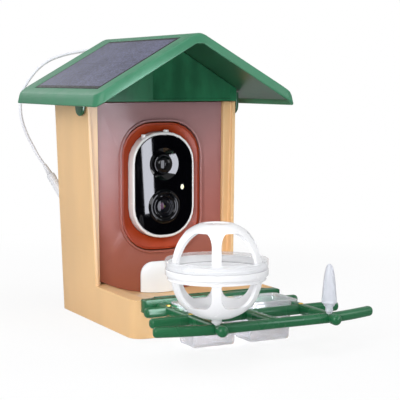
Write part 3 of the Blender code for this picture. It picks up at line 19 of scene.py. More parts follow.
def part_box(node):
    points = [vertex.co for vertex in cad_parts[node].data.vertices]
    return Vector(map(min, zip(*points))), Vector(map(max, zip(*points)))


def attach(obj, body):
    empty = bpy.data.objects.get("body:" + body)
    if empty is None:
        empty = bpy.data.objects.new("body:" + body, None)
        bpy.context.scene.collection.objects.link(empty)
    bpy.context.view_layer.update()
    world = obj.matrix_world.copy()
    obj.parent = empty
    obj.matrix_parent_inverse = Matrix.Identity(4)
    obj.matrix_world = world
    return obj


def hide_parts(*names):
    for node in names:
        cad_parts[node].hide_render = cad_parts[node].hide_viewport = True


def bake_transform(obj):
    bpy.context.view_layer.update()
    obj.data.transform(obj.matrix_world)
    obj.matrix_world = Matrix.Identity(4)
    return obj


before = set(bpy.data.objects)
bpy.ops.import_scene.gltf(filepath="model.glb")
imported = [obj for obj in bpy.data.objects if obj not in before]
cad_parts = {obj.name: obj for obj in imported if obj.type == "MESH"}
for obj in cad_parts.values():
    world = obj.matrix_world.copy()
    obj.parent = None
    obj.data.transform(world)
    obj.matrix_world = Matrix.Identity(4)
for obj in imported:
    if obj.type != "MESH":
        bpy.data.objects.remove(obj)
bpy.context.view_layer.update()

LOG = logging.getLogger("bird_feeder")

Colour = tuple[float, float, float]
Point = tuple[float, float, float]
Pair = tuple[float, float]
Loop = list[Pair]
Piece = bpy.types.Object

BACK_PLANE = 0.081
MERGE = 1e-6

# Degrees: the creases of smooth, of carved and of copied pieces, what counts as flat in a CAD
# shape, and the sharpness from which its edges are rounded.
CREASE = 34
CUT_CREASE = 30
COPY_CREASE = 22
FLAT = 0.6
ROUNDED_FROM = 40

UP: Point = (0, 0, 1)
FORWARD: Point = (0, -1, 0)


class Body(Enum):
    """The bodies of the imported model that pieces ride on."""

    HOUSING = "housing"
    ROOF = "roof"
    CAMERA = "camera"
    BUTTON_LEFT = "button_a"
    BUTTON_RIGHT = "button_b"
    GATE = "gate"
    PERCH = "perch"
    CUP_LEFT = "cup_a"
    CUP_RIGHT = "cup_b"
    BALL = "fruit_ball"
    BALL_CAP = "fruit_ball_cap"
    SPIKE = "spike"


class Slot(Enum):
    """The record's material slots."""

    AMBER = "amber"
    POCKET = "pocket"
    SMOKE = "smoke"
    WHITE = "white"
    BLACK = "black"
    LENS = "lens"
    FROST = "frost"
    ROOF = "roof"
    LINER = "liner"
    SOLAR = "solar"
    PERCH = "perch"
    BRASS = "brass"
    STEEL = "steel"
    CLEAR = "clear"
    CORD = "cord"
    RUBBER = "rubber"


def forward(depth: float) -> float:
    """Y of a point that far forward of the back plane."""
    return BACK_PLANE - depth


class Signal:
    """A value, colour or vector of a shader that takes part in Python sums."""

    def __init__(self, sheet: "Sheet", socket: bpy.types.NodeSocket) -> None:
        """Keep the socket and the sheet that it is on."""
        self.sheet = sheet
        self.socket = socket

    def _math(self, operation: str, first: "Signal | float", second: "Signal | float") -> "Signal":
        """Add one Math node to the sheet."""
        return self.sheet.node("ShaderNodeMath", {"operation": operation}, {0: first, 1: second})

    def __add__(self, other: "Signal | float") -> "Signal":
        """The sum."""
        return self._math("ADD", self, other)

    def __sub__(self, other: "Signal | float") -> "Signal":
        """The difference."""
        return self._math("SUBTRACT", self, other)

    def __rsub__(self, other: float) -> "Signal":
        """The difference, from the right."""
        return self._math("SUBTRACT", other, self)

    def __mul__(self, other: "Signal | float") -> "Signal":
        """The product."""
        return self._math("MULTIPLY", self, other)

    __radd__ = __add__
    __rmul__ = __mul__

    def least(self, other: "Signal | float") -> "Signal":
        """The smaller of two values."""
        return self._math("MINIMUM", self, other)

    def most(self, other: "Signal | float") -> "Signal":
        """The larger of two values."""
        return self._math("MAXIMUM", self, other)


Feed = Signal | float | Sequence[float]


class Sheet:
    """The node tree of one material or world."""

    def __init__(self, owner: bpy.types.Material | bpy.types.World) -> None:
        """Turn the owner's nodes on and keep its tree."""
        owner.use_nodes = True
        self.owner = owner
        self.tree = owner.node_tree

    def node(self, kind: str, settings: dict[str, object] | None = None,
             feeds: dict[int | str, Feed] | None = None, output: int | str = 0) -> Signal:
        """Add any node.

        Args:
            kind: The node's type name.
            settings: Its settings, which are set first; "stops" are a ramp's positions and colours.
            feeds: Values or signals for its inputs, by index or name.
            output: The output to return.

        Returns:
            The chosen output.
        """
        made = self.tree.nodes.new(kind)
        for key, setting in (settings or {}).items():
            if key == "stops":
                self._set_stops(made, setting)
            else:
                setattr(made, key, setting)
        for key, feed in (feeds or {}).items():
            self.feed(made.inputs[key], feed)
        return Signal(self, made.outputs[output])

    def _set_stops(self, made: bpy.types.Node, stops: Sequence[tuple[float, Colour]]) -> None:
        """Give a colour ramp its stops.

        Args:
            made: The ramp node.
            stops: Positions and colours, in order.
        """
        elements = made.color_ramp.elements
        while len(elements) < len(stops):
            elements.new(1)
        for element, (position, colour) in zip(elements, stops):
            element.position = position
            element.color = (*colour, 1)

    def feed(self, socket: bpy.types.NodeSocket, feed: Feed) -> None:
        """Link a signal to a socket, or set the socket's own value.

        Args:
            socket: The input.
            feed: A signal, a number, a colour or a vector.
        """
        if isinstance(feed, Signal):
            self.tree.links.new(feed.socket, socket)
        elif socket.type == "RGBA":
            socket.default_value = (*feed, 1)
        else:
            socket.default_value = feed

    def place(self) -> Signal:
        """The point on the piece, in metres."""
        return self.node("ShaderNodeTexCoord", output="Object")

    def axis(self, name: str) -> Signal:
        """One coordinate of the point on the piece."""
        return self.node("ShaderNodeSeparateXYZ", feeds={0: self.place()}, output=name)

    def noise(self, scale: float, detail: float, stretch: Point = (1, 1, 1)) -> Signal:
        """Soft random value, with features of about 1 / scale metres, on axes that are scaled."""
        spot = self.node("ShaderNodeVectorMath", {"operation": "MULTIPLY"}, {0: self.place(), 1: stretch})
        return self.node("ShaderNodeTexNoise", {}, {"Vector": spot, "Scale": scale, "Detail": detail})

    def cells(self, scale: float, output: str = "Distance") -> Signal:
        """Cell pattern, with cells of about 1 / scale metres."""
        return self.node("ShaderNodeTexVoronoi", {}, {"Vector": self.place(), "Scale": scale}, output)

    def ramped(self, value: Signal, low: float, high: float, to_low: float = 0,
               to_high: float = 1) -> Signal:
        """The value carried smoothly from one range to another."""
        return self.node("ShaderNodeMapRange", {"interpolation_type": "SMOOTHSTEP"},
                         {0: value, 1: low, 2: high, 3: to_low, 4: to_high})

    def mixed(self, factor: Feed, first: Feed, second: Feed) -> Signal:
        """Two colours mixed."""
        return self.node("ShaderNodeMix", {"data_type": "RGBA"}, {0: factor, 6: first, 7: second}, 2)

    def bump(self, height: Signal, distance: float, strength: float,
             normal: Signal | None = None) -> Signal:
        """Surface relief from a height.

        Args:
            height: The height, from 0 to 1.
            distance: The relief's size, in metres.
            strength: The part of it that shows.
            normal: The relief under it.

        Returns:
            The normal.
        """
        feeds = {"Height": height, "Distance": distance, "Strength": strength}
        if normal:
            feeds["Normal"] = normal
        return self.node("ShaderNodeBump", {}, feeds)


@dataclass(frozen=True)
class Patches:
    """Soft random patches: noise, carried from between two of its values to 0 and 1."""

    scale: float
    detail: float
    low: float
    high: float
    stretch: Point = (1, 1, 1)

    def on(self, sheet: Sheet) -> Signal:
        """The patches' mask on a sheet."""
        return sheet.ramped(sheet.noise(self.scale, self.detail, self.stretch), self.low, self.high)


class PaintSheet(Sheet):
    """A material on one Principled shader."""

    def __init__(self, name: str) -> None:
        """Make the material."""
        super().__init__(bpy.data.materials.new(name))
        self.surface = self.tree.nodes["Principled BSDF"]

    def paint(self, feeds: dict[str, Feed]) -> bpy.types.Material:
        """Feed the Principled shader.

        Args:
            feeds: Values or signals by input name.

        Returns:
            The material.
        """
        for key, feed in feeds.items():
            self.feed(self.surface.inputs[key], feed)
        return self.owner


def shaded(colour: Colour, by: float) -> Colour:
    """A colour scaled towards black or white."""
    return tuple(min(max(part * by, 0), 1) for part in colour)


@dataclass(frozen=True)
class MouldedPlastic:
    """Injection-moulded plastic: fine texture, flow marks, faint scuffs and settled dust."""

    name: str
    slot: Slot
    colour: Colour
    roughness: float = 0.38
    roughness_spread: float = 0.10
    grain: float = 0.000012
    grain_scale: float = 2600
    cloud: float = 0.08
    cloud_scale: float = 28
    flow: Point = (1, 1, 0.35)
    coat: float = 0
    glow_through: float = 0
    specular: float = 0.5
    dust: float = 0.04
    dust_colour: Colour = (0.75, 0.74, 0.70)
    dust_rough: float = 0.5
    dust_lie: Patches = Patches(90, 6, 0.45, 0.75)
    scuffs: Patches = Patches(210, 5, 0.62, 0.78, (1, 0.12, 1))
    scuff_rough: float = 0.09
    flow_relief: float = 0.00008
    coat_roughness: float = 0.06

    def material(self) -> bpy.types.Material:
        """Build the material.

        Returns:
            The material.
        """
        sheet = PaintSheet(self.name)
        clouds = Patches(self.cloud_scale, 4, 0.35, 0.65, self.flow).on(sheet)
        pits = sheet.noise(self.grain_scale, 2)
        top = sheet.node("ShaderNodeNewGeometry", output="Normal")
        upward = sheet.ramped(sheet.node("ShaderNodeSeparateXYZ", feeds={0: top}, output="Z"), 0.5, 1)
        dust = upward * self.dust_lie.on(sheet) * self.dust
        body = sheet.mixed(clouds, *(shaded(self.colour, 1 + way * self.cloud) for way in (-1, 1)))
        colour = sheet.mixed(dust, body, self.dust_colour)
        rough = self.roughness + self.roughness_spread * (clouds - 0.5)
        rough += self.scuff_rough * self.scuffs.on(sheet)
        feeds: dict[str, Feed] = {
            "Base Color": colour,
            "Roughness": rough + self.dust_rough * dust,
            "Specular IOR Level": self.specular,
            "Normal": sheet.bump(pits, self.grain, 0.6, sheet.bump(clouds, self.flow_relief, 0.25)),
        }
        if self.coat:
            feeds.update({"Coat Weight": self.coat, "Coat Roughness": self.coat_roughness})
        if self.glow_through:
            feeds.update({"Subsurface Weight": self.glow_through, "Subsurface Scale": 0.004,
                          "Subsurface Radius": (1, 0.7, 0.5)})
        return sheet.paint(feeds)


@dataclass(frozen=True)
class ClearPlastic:
    """Clear or frosted plastic with moulding ripples and a few fine scratches."""

    name: str
    slot: Slot
    colour: Colour
    roughness: float = 0.05
    transmission: float = 1
    ripple: float = 0.00005
    frost: float = 0
    refraction: float = 1.46
    cover: float = 1
    scratches: Patches = Patches(160, 6, 0.60, 0.70, (0.1, 1, 1))
    scratch_rough: float = 0.06

    def material(self) -> bpy.types.Material:
        """Build the material.

        Returns:
            The material.
        """
        sheet = PaintSheet(self.name)
        ripples, pits = sheet.noise(70, 2), sheet.noise(1800, 3)
        scratches = self.scratches.on(sheet)
        rough = self.roughness + self.scratch_rough * scratches
        return sheet.paint({
            "Base Color": sheet.mixed(scratches * 0.3, self.colour, shaded(self.colour, 0.9)),
            "Roughness": rough + self.frost * sheet.ramped(pits, 0.3, 0.7),
            "Alpha": self.cover,
            "Transmission Weight": self.transmission,
            "IOR": self.refraction,
            "Normal": sheet.bump(pits, 0.00001 + self.frost * 0.00006, 0.4,
                                 sheet.bump(ripples, self.ripple, 0.5)),
        })


@dataclass(frozen=True)
class SmokedPane:
    """The tinted window: smoky at the top, with painted warm light of the amber tray and inside towards the
    bottom.
    """

    name: str
    slot: Slot
    low: float
    high: float
    # The top is the pane's smoky tint; the warm middle and bottom colours are painted light from the amber
    # tray and inside.
    top: Colour = (0.43, 0.250, 0.260)
    middle: Colour = (0.48, 0.180, 0.155)
    bottom: Colour = (0.37, 0.115, 0.065)
    cover: float = 0.80
    roughness: float = 0.10
    speck: Colour = (0.75, 0.66, 0.64)
    haze: Patches = Patches(60, 5, 0.35, 0.8)
    haze_rough: float = 0.10
    haze_cover: float = 0.05

    def material(self) -> bpy.types.Material:
        """Build the material.

        Returns:
            The material.
        """
        sheet = PaintSheet(self.name)
        share = (sheet.axis("Z") - self.low) * (1 / (self.high - self.low))
        wander = share + 0.10 * (sheet.noise(14, 2) - 0.5)
        # Painted light: the tint warms towards the bottom as if lit by the amber tray and inside.
        tint_and_painted_glow = sheet.node("ShaderNodeValToRGB", {"stops": (
            (0, self.bottom), (0.45, self.middle), (1, self.top))}, {0: wander})
        haze = self.haze.on(sheet)
        specks = sheet.ramped(sheet.cells(900), 0.10, 0.02)
        colour = sheet.mixed(specks * 0.35, tint_and_painted_glow, self.speck)
        return sheet.paint({
            "Base Color": colour,
            "Roughness": self.roughness + self.haze_rough * haze,
            "Alpha": self.cover + self.haze_cover * haze,
            "Specular IOR Level": 0.15,
            "Normal": sheet.bump(sheet.noise(45, 2), 0.00012, 0.3),
        })


@dataclass(frozen=True)
class GlossFace:
    """Black gloss with wiped smears and fine hairlines."""

    name: str
    slot: Slot
    colour: Colour = (0.0012, 0.0012, 0.002)
    roughness: float = 0.03
    specular: float = 0.5
    dust: Colour = (0.5, 0.5, 0.52)
    smears: Patches = Patches(75, 4, 0.5, 0.8, (1, 1, 0.3))
    smear_rough: float = 0.035
    hairs: Patches = Patches(340, 6, 0.64, 0.70, (1, 1, 0.05))
    hair_rough: float = 0.03

    def material(self) -> bpy.types.Material:
        """Build the material.

        Returns:
            The material.
        """
        sheet = PaintSheet(self.name)
        smears = self.smears.on(sheet)
        rough = self.roughness + self.smear_rough * smears + self.hair_rough * self.hairs.on(sheet)
        specks = sheet.ramped(sheet.cells(1500), 0.06, 0.01)
        colour = sheet.mixed(specks * 0.05, self.colour, self.dust)
        return sheet.paint({
            "Base Color": colour,
            "Roughness": rough,
            "Specular IOR Level": self.specular,
            "Normal": sheet.bump(smears, 0.00001, 0.2),
        })


@dataclass(frozen=True)
class CoatedGlass:
    """Lens glass: almost black, with a painted purple reflection of its coating on one side and a painted
    green one beside it.
    """

    name: str
    slot: Slot
    centre: Point
    radius: float
    dark: Colour = (0.003, 0.003, 0.006)
    # Painted reflection: the purple and green colours, in spots at fixed places, stand for the coating's
    # coloured reflections.
    purple: Colour = (0.10, 0.045, 0.085)
    green: Colour = (0.12, 0.13, 0.045)
    purple_reflection_spot: Point = (-0.34, 0.10, 0.42)
    green_reflection_spot: Point = (0.05, 0.04, 0.16)
    rings: Patches = Patches(700, 2, 0.4, 0.6)

    def material(self) -> bpy.types.Material:
        """Build the material.

        Returns:
            The material.
        """
        sheet = PaintSheet(self.name)
        # Painted reflections of the coating, purple and then green, over the dark glass.
        painted_purple_reflection = sheet.mixed(self._spot(sheet, *self.purple_reflection_spot), self.dark, self.purple)
        return sheet.paint({
            "Base Color": sheet.mixed(self._spot(sheet, *self.green_reflection_spot), painted_purple_reflection, self.green),
            "Roughness": 0.03 + 0.03 * self.rings.on(sheet),
            "Specular IOR Level": 0.15,
            "Coat Weight": 0.05,
            "Normal": sheet.bump(sheet.noise(400, 1), 0.000008, 0.2),
        })

    def _spot(self, sheet: PaintSheet, right: float, up: float, size: float) -> Signal:
        """A soft oval spot of painted coating reflection on the glass. Its sizes are shares of the glass's
        radius.

        Args:
            sheet: The material's sheet.
            right: How far right of the centre it is.
            up: How far above the centre it is.
            size: Its radius.

        Returns:
            A mask that is 1 in the spot.
        """
        scale = 1 / (size * self.radius)
        x = (sheet.axis("X") - (self.centre[0] + right * self.radius)) * scale
        z = (sheet.axis("Z") - (self.centre[2] + up * self.radius)) * scale
        return sheet.ramped(x * x + z * z * 0.5, 1, 0.1)


@dataclass(frozen=True)
class SolarCells:
    """Dark grained cells under a textured film, with a seam, and a near-black band round the edge that is
    painted shadow of the recess.
    """

    name: str
    slot: Slot
    left: float
    right: float
    front: float
    rear: float
    # Width of the painted recess shadow round the panel's edge.
    edge_shade_width: float = 0.0036
    colour: Colour = (0.030, 0.031, 0.055)
    light: Colour = (0.170, 0.175, 0.275)
    line: Colour = (0.05, 0.05, 0.08)
    # Painted shadow: the near-black colour of the band round the panel's edge, where the recess shades it.
    margin: Colour = (0.006, 0.006, 0.008)
    grains: Patches = Patches(560, 4, 0.42, 0.60)
    wash: Patches = Patches(22, 2, 0.3, 0.7)

    def material(self) -> bpy.types.Material:
        """Build the material.

        Returns:
            The material.
        """
        sheet = PaintSheet(self.name)
        x, y = sheet.axis("X"), sheet.axis("Y")
        grains = self.grains.on(sheet)
        crystals = sheet.node("ShaderNodeSeparateColor",
                              feeds={0: sheet.cells(330, output="Color")}, output="Red")
        inside = (x - self.left).least(self.right - x).least((y - self.front).least(self.rear - y))
        # The band round the edge is painted shadow of the recess.
        clear_of_edge_shade = sheet.ramped(inside, self.edge_shade_width * 0.7, self.edge_shade_width)
        middle = (self.left + self.right) / 2
        seam = sheet.ramped((x - middle).most(middle - x), 0.0007, 0.0002)
        fingers = sheet.node("ShaderNodeTexWave", {"bands_direction": "Y"},
                             {"Vector": sheet.place(), "Scale": 62}, "Fac")
        tone = grains * 0.62 + crystals * 0.18 + self.wash.on(sheet) * 0.18
        body = sheet.mixed(tone, self.colour, self.light)
        lined = sheet.mixed(sheet.ramped(fingers, 0.96, 1) * 0.18 + seam * 0.55, body, self.line)
        return sheet.paint({
            "Base Color": sheet.mixed(clear_of_edge_shade, self.margin, lined),
            "Roughness": 0.42 + 0.16 * grains,
            "Specular IOR Level": 0.3,
            "Normal": sheet.bump(grains, 0.00012, 0.55),
        })


@dataclass(frozen=True)
class TurnedMetal:
    """Turned metal: fine pits and slightly dull, darker random patches."""

    name: str
    slot: Slot
    colour: Colour
    roughness: float = 0.28
    dull: Patches = Patches(420, 4, 0.4, 0.7)

    def material(self) -> bpy.types.Material:
        """Build the material.

        Returns:
            The material.
        """
        sheet = PaintSheet(self.name)
        dull = self.dull.on(sheet)
        return sheet.paint({
            "Base Color": sheet.mixed(dull * 0.6, self.colour, shaded(self.colour, 0.62)),
            "Metallic": 1,
            "Roughness": self.roughness + 0.18 * dull,
            "Normal": sheet.bump(sheet.noise(2200, 2), 0.00002, 0.5),
        })


AMBER = MouldedPlastic("amber_plastic", Slot.AMBER, (0.80, 0.52, 0.26), 0.38, 0.03, cloud=0.03,
                       glow_through=0.08, specular=0.3)
AMBER_INSIDE = MouldedPlastic("amber_cover_plastic", Slot.AMBER, (0.76, 0.48, 0.23), 0.46, 0.04)
# Painted shade: the pocket is the amber plastic, darkened and reddened to stand for the shade and orange
# inter-reflection inside the deep cavity.
POCKET_PAINTED_SHADE = MouldedPlastic("pocket_amber_painted_shade", Slot.POCKET, (0.39, 0.046, 0.007), 0.42,
                            cloud=0.10, specular=0.15)
SHELL_WHITE = MouldedPlastic("shell_white_plastic", Slot.WHITE, (0.84, 0.84, 0.84), 0.28, cloud=0.012,
                             grain=0.000006)
GATE_WHITE = MouldedPlastic("gate_white_plastic", Slot.WHITE, (0.88, 0.95, 1.00), 0.36, cloud=0.02)
BALL_WHITE = MouldedPlastic("ball_white_plastic", Slot.WHITE, (0.86, 0.86, 0.87), 0.22, cloud=0.010,
                            grain=0.000004, coat=0.1)
ROOF_GREEN = MouldedPlastic("roof_green_plastic", Slot.ROOF, (0.046, 0.205, 0.110), 0.44, cloud=0.05,
                            specular=0.28, dust=0.05)
GABLE_GREEN = MouldedPlastic("gable_green_plastic", Slot.LINER, (0.018, 0.140, 0.062), 0.42, cloud=0.20,
                             cloud_scale=60, specular=0.06)
CEILING_GREEN = MouldedPlastic("ceiling_green_plastic", Slot.LINER, (0.012, 0.080, 0.036), 0.30, 0.02,
                               cloud=0.05)
TAB_GREEN = MouldedPlastic("tab_green_plastic", Slot.ROOF, (0.014, 0.110, 0.045), 0.32)
PERCH_GREEN = MouldedPlastic("perch_green_plastic", Slot.PERCH, (0.013, 0.120, 0.045), 0.28, cloud=0.07,
                             specular=0.35)
BLACK_BARREL = GlossFace("lens_ring_black", Slot.BLACK, (0.003, 0.003, 0.005), 0.14, 0.06)
BLACK_BEZEL = GlossFace("lens_bezel_black", Slot.BLACK, (0.0015, 0.0015, 0.0025), 0.06, 0.16)
FACE_BLACK = GlossFace("face_gloss_black", Slot.BLACK)
DOME_BLACK = GlossFace("dome_gloss_black", Slot.BLACK, (0.0015, 0.0015, 0.0025), 0.03, 0.20)
FROSTED = ClearPlastic("frosted_spike_plastic", Slot.FROST, (0.80, 0.82, 0.88), 0.28, 0.32, frost=0.04)
RING_CLEAR = ClearPlastic("clear_ring_plastic", Slot.FROST, (0.96, 0.97, 0.99), 0.16, 0.35, frost=0.03,
                          cover=0.35)
CUP_CLEAR = ClearPlastic("clear_cup_plastic", Slot.CLEAR, (0.96, 0.96, 0.99), 0.10, 0.72, 0.00002,
                         cover=0.70)
BRASS = TurnedMetal("pin_brass", Slot.BRASS, (0.80, 0.52, 0.13))
STEEL = TurnedMetal("screw_steel", Slot.STEEL, (0.62, 0.62, 0.64), 0.32)
CORD_WHITE = MouldedPlastic("cord_jacket_white", Slot.CORD, (0.78, 0.79, 0.84), 0.26, cloud=0.03,
                            grain=0.000004)
PLUG_WHITE = MouldedPlastic("plug_jacket_white", Slot.CORD, (0.72, 0.73, 0.76), 0.36, cloud=0.04)
RUBBER = MouldedPlastic("pad_rubber_black", Slot.RUBBER, (0.022, 0.022, 0.023), 0.66, cloud=0.15,
                        grain=0.00003, grain_scale=1500, dust=0.10)


@dataclass(frozen=True)
class StatusLight:
    """The small oval light window: a milky lens with a warm heart."""

    name: str
    slot: Slot
    centre: Point
    reach: float
    rim: Colour = (0.75, 0.76, 0.74)
    heart: Colour = (0.95, 0.92, 0.55)
    rim_glow: Colour = (0.55, 0.56, 0.50)
    heart_glow: Colour = (1, 0.95, 0.62)
    glow: float = 0.45

    def material(self) -> bpy.types.Material:
        """Build the material.

        Returns:
            The material.
        """
        sheet = PaintSheet(self.name)
        x, z = ((sheet.axis("XYZ"[axis]) - self.centre[axis]) * (1 / self.reach) for axis in (0, 2))
        middle = sheet.ramped(x * x + z * z, 0.9, 0.05)
        return sheet.paint({
            "Base Color": sheet.mixed(middle, self.rim, self.heart),
            "Roughness": 0.18 + 0.1 * sheet.noise(900, 2),
            "Emission Color": sheet.mixed(middle, self.rim_glow, self.heart_glow),
            "Emission Strength": self.glow,
        })


Finish = (MouldedPlastic | ClearPlastic | SmokedPane | GlossFace | CoatedGlass | SolarCells
          | TurnedMetal | StatusLight)


@functools.cache
def material_of(finish: Finish) -> bpy.types.Material:
    """The finish's material, built once."""
    return finish.material()


def hand_over(piece: Piece, body: Body, finish: Finish, *nodes: str) -> Piece:
    """Dress a piece, let it ride on its body and let it stand for its CAD nodes.

    Args:
        piece: The finished piece, in its place.
        body: The body it rides on.
        finish: Its finish.
        nodes: The CAD nodes that it stands for.

    Returns:
        The piece.
    """
    piece.data.materials.clear()
    piece.data.materials.append(material_of(finish))
    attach(piece, body.value)
    if nodes:
        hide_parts(*nodes)
    LOG.info("%s rides on %s", piece.name, body.value)
    return piece


def new_piece(name: str, points: Sequence[Point], faces: Sequence[Sequence[int]],
              crease: float = CUT_CREASE) -> Piece:
    """Make an object from points and faces, closed up and shaded smooth.

    Args:
        name: The object's name.
        points: The vertices, in metres.
        faces: Vertex numbers of each face.
        crease: Edges sharper than this many degrees stay sharp.

    Returns:
        The object.
    """
    mesh = bpy.data.meshes.new(name)
    mesh.from_pydata(points, [], faces)
    work = bmesh.new()
    work.from_mesh(mesh)
    bmesh.ops.remove_doubles(work, verts=work.verts, dist=MERGE)
    bmesh.ops.recalc_face_normals(work, faces=work.faces)
    return smoothed(linked(name, work, mesh), crease)


def linked(name: str, work: bmesh.types.BMesh, mesh: bpy.types.Mesh) -> Piece:
    """Write a working mesh into a mesh, and put that in the scene.

    Args:
        name: The object's name.
        work: The working mesh, which is freed.
        mesh: The mesh to write.

    Returns:
        The object.
    """
    work.to_mesh(mesh)
    work.free()
    piece = bpy.data.objects.new(name, mesh)
    bpy.context.scene.collection.objects.link(piece)
    return piece


def smoothed(piece: Piece, crease: float) -> Piece:
    """Shade a piece smooth but for its sharp edges.

    Args:
        piece: The object.
        crease: Edges sharper than this many degrees stay sharp.

    Returns:
        The object.
    """
    mesh = piece.data
    mesh.polygons.foreach_set("use_smooth", [True] * len(mesh.polygons))
    mesh.set_sharp_from_angle(angle=math.radians(crease))
    return piece


def settled(piece: Piece) -> Piece:
    """Apply a piece's modifiers.

    Args:
        piece: The object.

    Returns:
        The object.
    """
    graph = bpy.context.evaluated_depsgraph_get()
    mesh = bpy.data.meshes.new_from_object(piece.evaluated_get(graph))
    piece.modifiers.clear()
    piece.data = mesh
    return piece


def rounded_copy(node: str, name: str, edge: float, steps: int = 2) -> Piece:
    """Copy a CAD node's shape and round its edges.

    Args:
        node: The CAD node.
        name: The new piece's name.
        edge: The width of the rounding.
        steps: Facets across the rounding.

    Returns:
        The new piece.
    """
    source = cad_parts[node].data
    points = [tuple(vertex.co) for vertex in source.vertices]
    faces = [tuple(face.vertices) for face in source.polygons]
    piece = new_piece(name, points, faces, 180)
    work = bmesh.new()
    work.from_mesh(piece.data)
    bmesh.ops.dissolve_limit(work, angle_limit=math.radians(FLAT), verts=work.verts, edges=work.edges)
    bmesh.ops.triangulate(work, faces=[face for face in work.faces if len(face.verts) > 4])
    work.to_mesh(piece.data)
    work.free()
    modifier = piece.modifiers.new("rounding", "BEVEL")
    modifier.width = edge
    modifier.segments = steps
    modifier.limit_method = "ANGLE"
    modifier.angle_limit = math.radians(ROUNDED_FROM)
    modifier.use_clamp_overlap = False
    return smoothed(settled(piece), COPY_CREASE)


def mouldings(body: Body, rows: Sequence[tuple[str, str, float, Finish]],
              steps: int = 2) -> list[Piece]:
    """Dress rounded copies of CAD nodes and hand them over.

    Args:
        body: The body that they ride on.
        rows: Each one's node, new name, width of rounding and finish.
        steps: Facets across the rounding.

    Returns:
        The pieces.
    """
    return [hand_over(rounded_copy(node, name, edge, steps), body, finish, node)
            for node, name, edge, finish in rows]


def extent(node: str) -> tuple[Vector, Vector, Vector]:
    """The low corner of a CAD node's box, its middle and half its size."""
    low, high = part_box(node)
    return low, (low + high) / 2, (high - low) / 2


def turned(name: str, profile: Sequence[Pair], centre: Point, way: Point = UP, sides: int = 64,
           closed: bool = False, crease: float = CREASE) -> Piece:
    """Turn a profile about an axis.

    Args:
        name: The piece's name.
        profile: Radii and heights along the axis.
        centre: Where the axis starts.
        way: The axis's direction.
        sides: Facets around.
        closed: Whether the profile's last point joins its first.
        crease: Edges sharper than this many degrees stay sharp.

    Returns:
        The piece.
    """
    place = facing(centre, way)
    points = []
    for side in range(sides):
        angle = math.tau * side / sides
        points.extend(tuple(place @ Vector((radius * math.cos(angle), radius * math.sin(angle), height)))
                      for radius, height in profile)
    count = len(profile)
    faces = []
    for side in range(sides):
        here, there = side * count, (side + 1) % sides * count
        for row in range(count if closed else count - 1):
            after = (row + 1) % count
            faces.append((here + row, there + row, there + after, here + after))
    return new_piece(name, points, faces, crease)


def capped(name: str, node: str, crown: Sequence[Pair], foot: Sequence[Pair], sides: int) -> Piece:
    """Turn an upright piece in the place of a CAD node.

    Args:
        name: The piece's name.
        node: The CAD node, which gives the axis, the radius and the height.
        crown: Shares of the radius, and heights from the top.
        foot: Shares of the radius, and heights from the bottom.
        sides: Facets around.

    Returns:
        The piece.
    """
    low, middle, half = extent(node)
    profile = [(half.x * share, half.z * 2 + rise) for share, rise in crown]
    profile += [(half.x * share, rise) for share, rise in foot]
    return turned(name, profile, (middle.x, middle.y, low.z), UP, sides)


def facing(centre: Point, way: Point) -> Matrix:
    """The placing of something built upright that faces another way."""
    turn = Vector(UP).rotation_difference(Vector(way)).to_matrix().to_4x4()
    return Matrix.Translation(centre) @ turn


def lofted(name: str, rings: Sequence[Sequence[Point]], crease: float = CREASE) -> Piece:
    """Join rings of points with faces, and close both ends.

    Args:
        name: The piece's name.
        rings: Rings with the same number of points.
        crease: Edges sharper than this many degrees stay sharp.

    Returns:
        The piece.
    """
    count = len(rings[0])
    points = [point for ring in rings for point in ring]
    faces: list[Sequence[int]] = []
    for row in range(len(rings) - 1):
        here, there = row * count, (row + 1) * count
        for spot in range(count):
            after = (spot + 1) % count
            faces.append((here + spot, here + after, there + after, there + spot))
    faces.extend((range(count), range(len(points) - count, len(points))))
    return new_piece(name, points, faces, crease)


def rounded_loop(low: Pair, high: Pair, corner: float, steps: int = 8,
                 low_corner: float | None = None) -> Loop:
    """A rectangle with round corners.

    Args:
        low: The lower left corner.
        high: The upper right corner.
        corner: The corners' radius.
        steps: Facets in each corner.
        low_corner: The radius of the two lower corners, where it is another.

    Returns:
        The outline, anticlockwise.
    """
    below = corner if low_corner is None else low_corner
    centres = ((high[0] - corner, high[1] - corner, 0, corner),
               (low[0] + corner, high[1] - corner, 90, corner),
               (low[0] + below, low[1] + below, 180, below),
               (high[0] - below, low[1] + below, 270, below))
    loop = []
    for x, y, start, radius in centres:
        for step in range(steps + 1):
            angle = math.radians(start + 90 * step / steps)
            loop.append((x + radius * math.cos(angle), y + radius * math.sin(angle)))
    return loop


def swept(name: str, path: Sequence[Point], section: Callable[[int], Loop],
          crease: float = CREASE) -> Piece:
    """Carry a section along a path.

    Args:
        name: The piece's name.
        path: The points that the section's centre follows.
        section: The outline at each point of the path, across and up.
        crease: Edges sharper than this many degrees stay sharp.

    Returns:
        The piece.
    """
    spots = [Vector(spot) for spot in path]
    last = len(spots) - 1
    ways = [(spots[min(index + 1, last)] - spots[max(index - 1, 0)]).normalized()
            for index in range(last + 1)]
    side = ways[0].cross(Vector(UP)).normalized()
    rings = []
    for index, (spot, way) in enumerate(zip(spots, ways)):
        side = (side - way * side.dot(way)).normalized()
        rise = side.cross(way)
        rings.append([tuple(spot + side * across + rise * up) for across, up in section(index)])
    return lofted(name, rings, crease)


def ring_loop(radius: float, sides: int, high: float | None = None) -> Loop:
    """A circle, or an ellipse with its own height.

    Args:
        radius: The radius, or half the ellipse's width.
        sides: Its number of points.
        high: Half the ellipse's height.

    Returns:
        The outline.
    """
    tall = radius if high is None else high
    return [(radius * math.cos(math.tau * step / sides), tall * math.sin(math.tau * step / sides))
            for step in range(sides)]


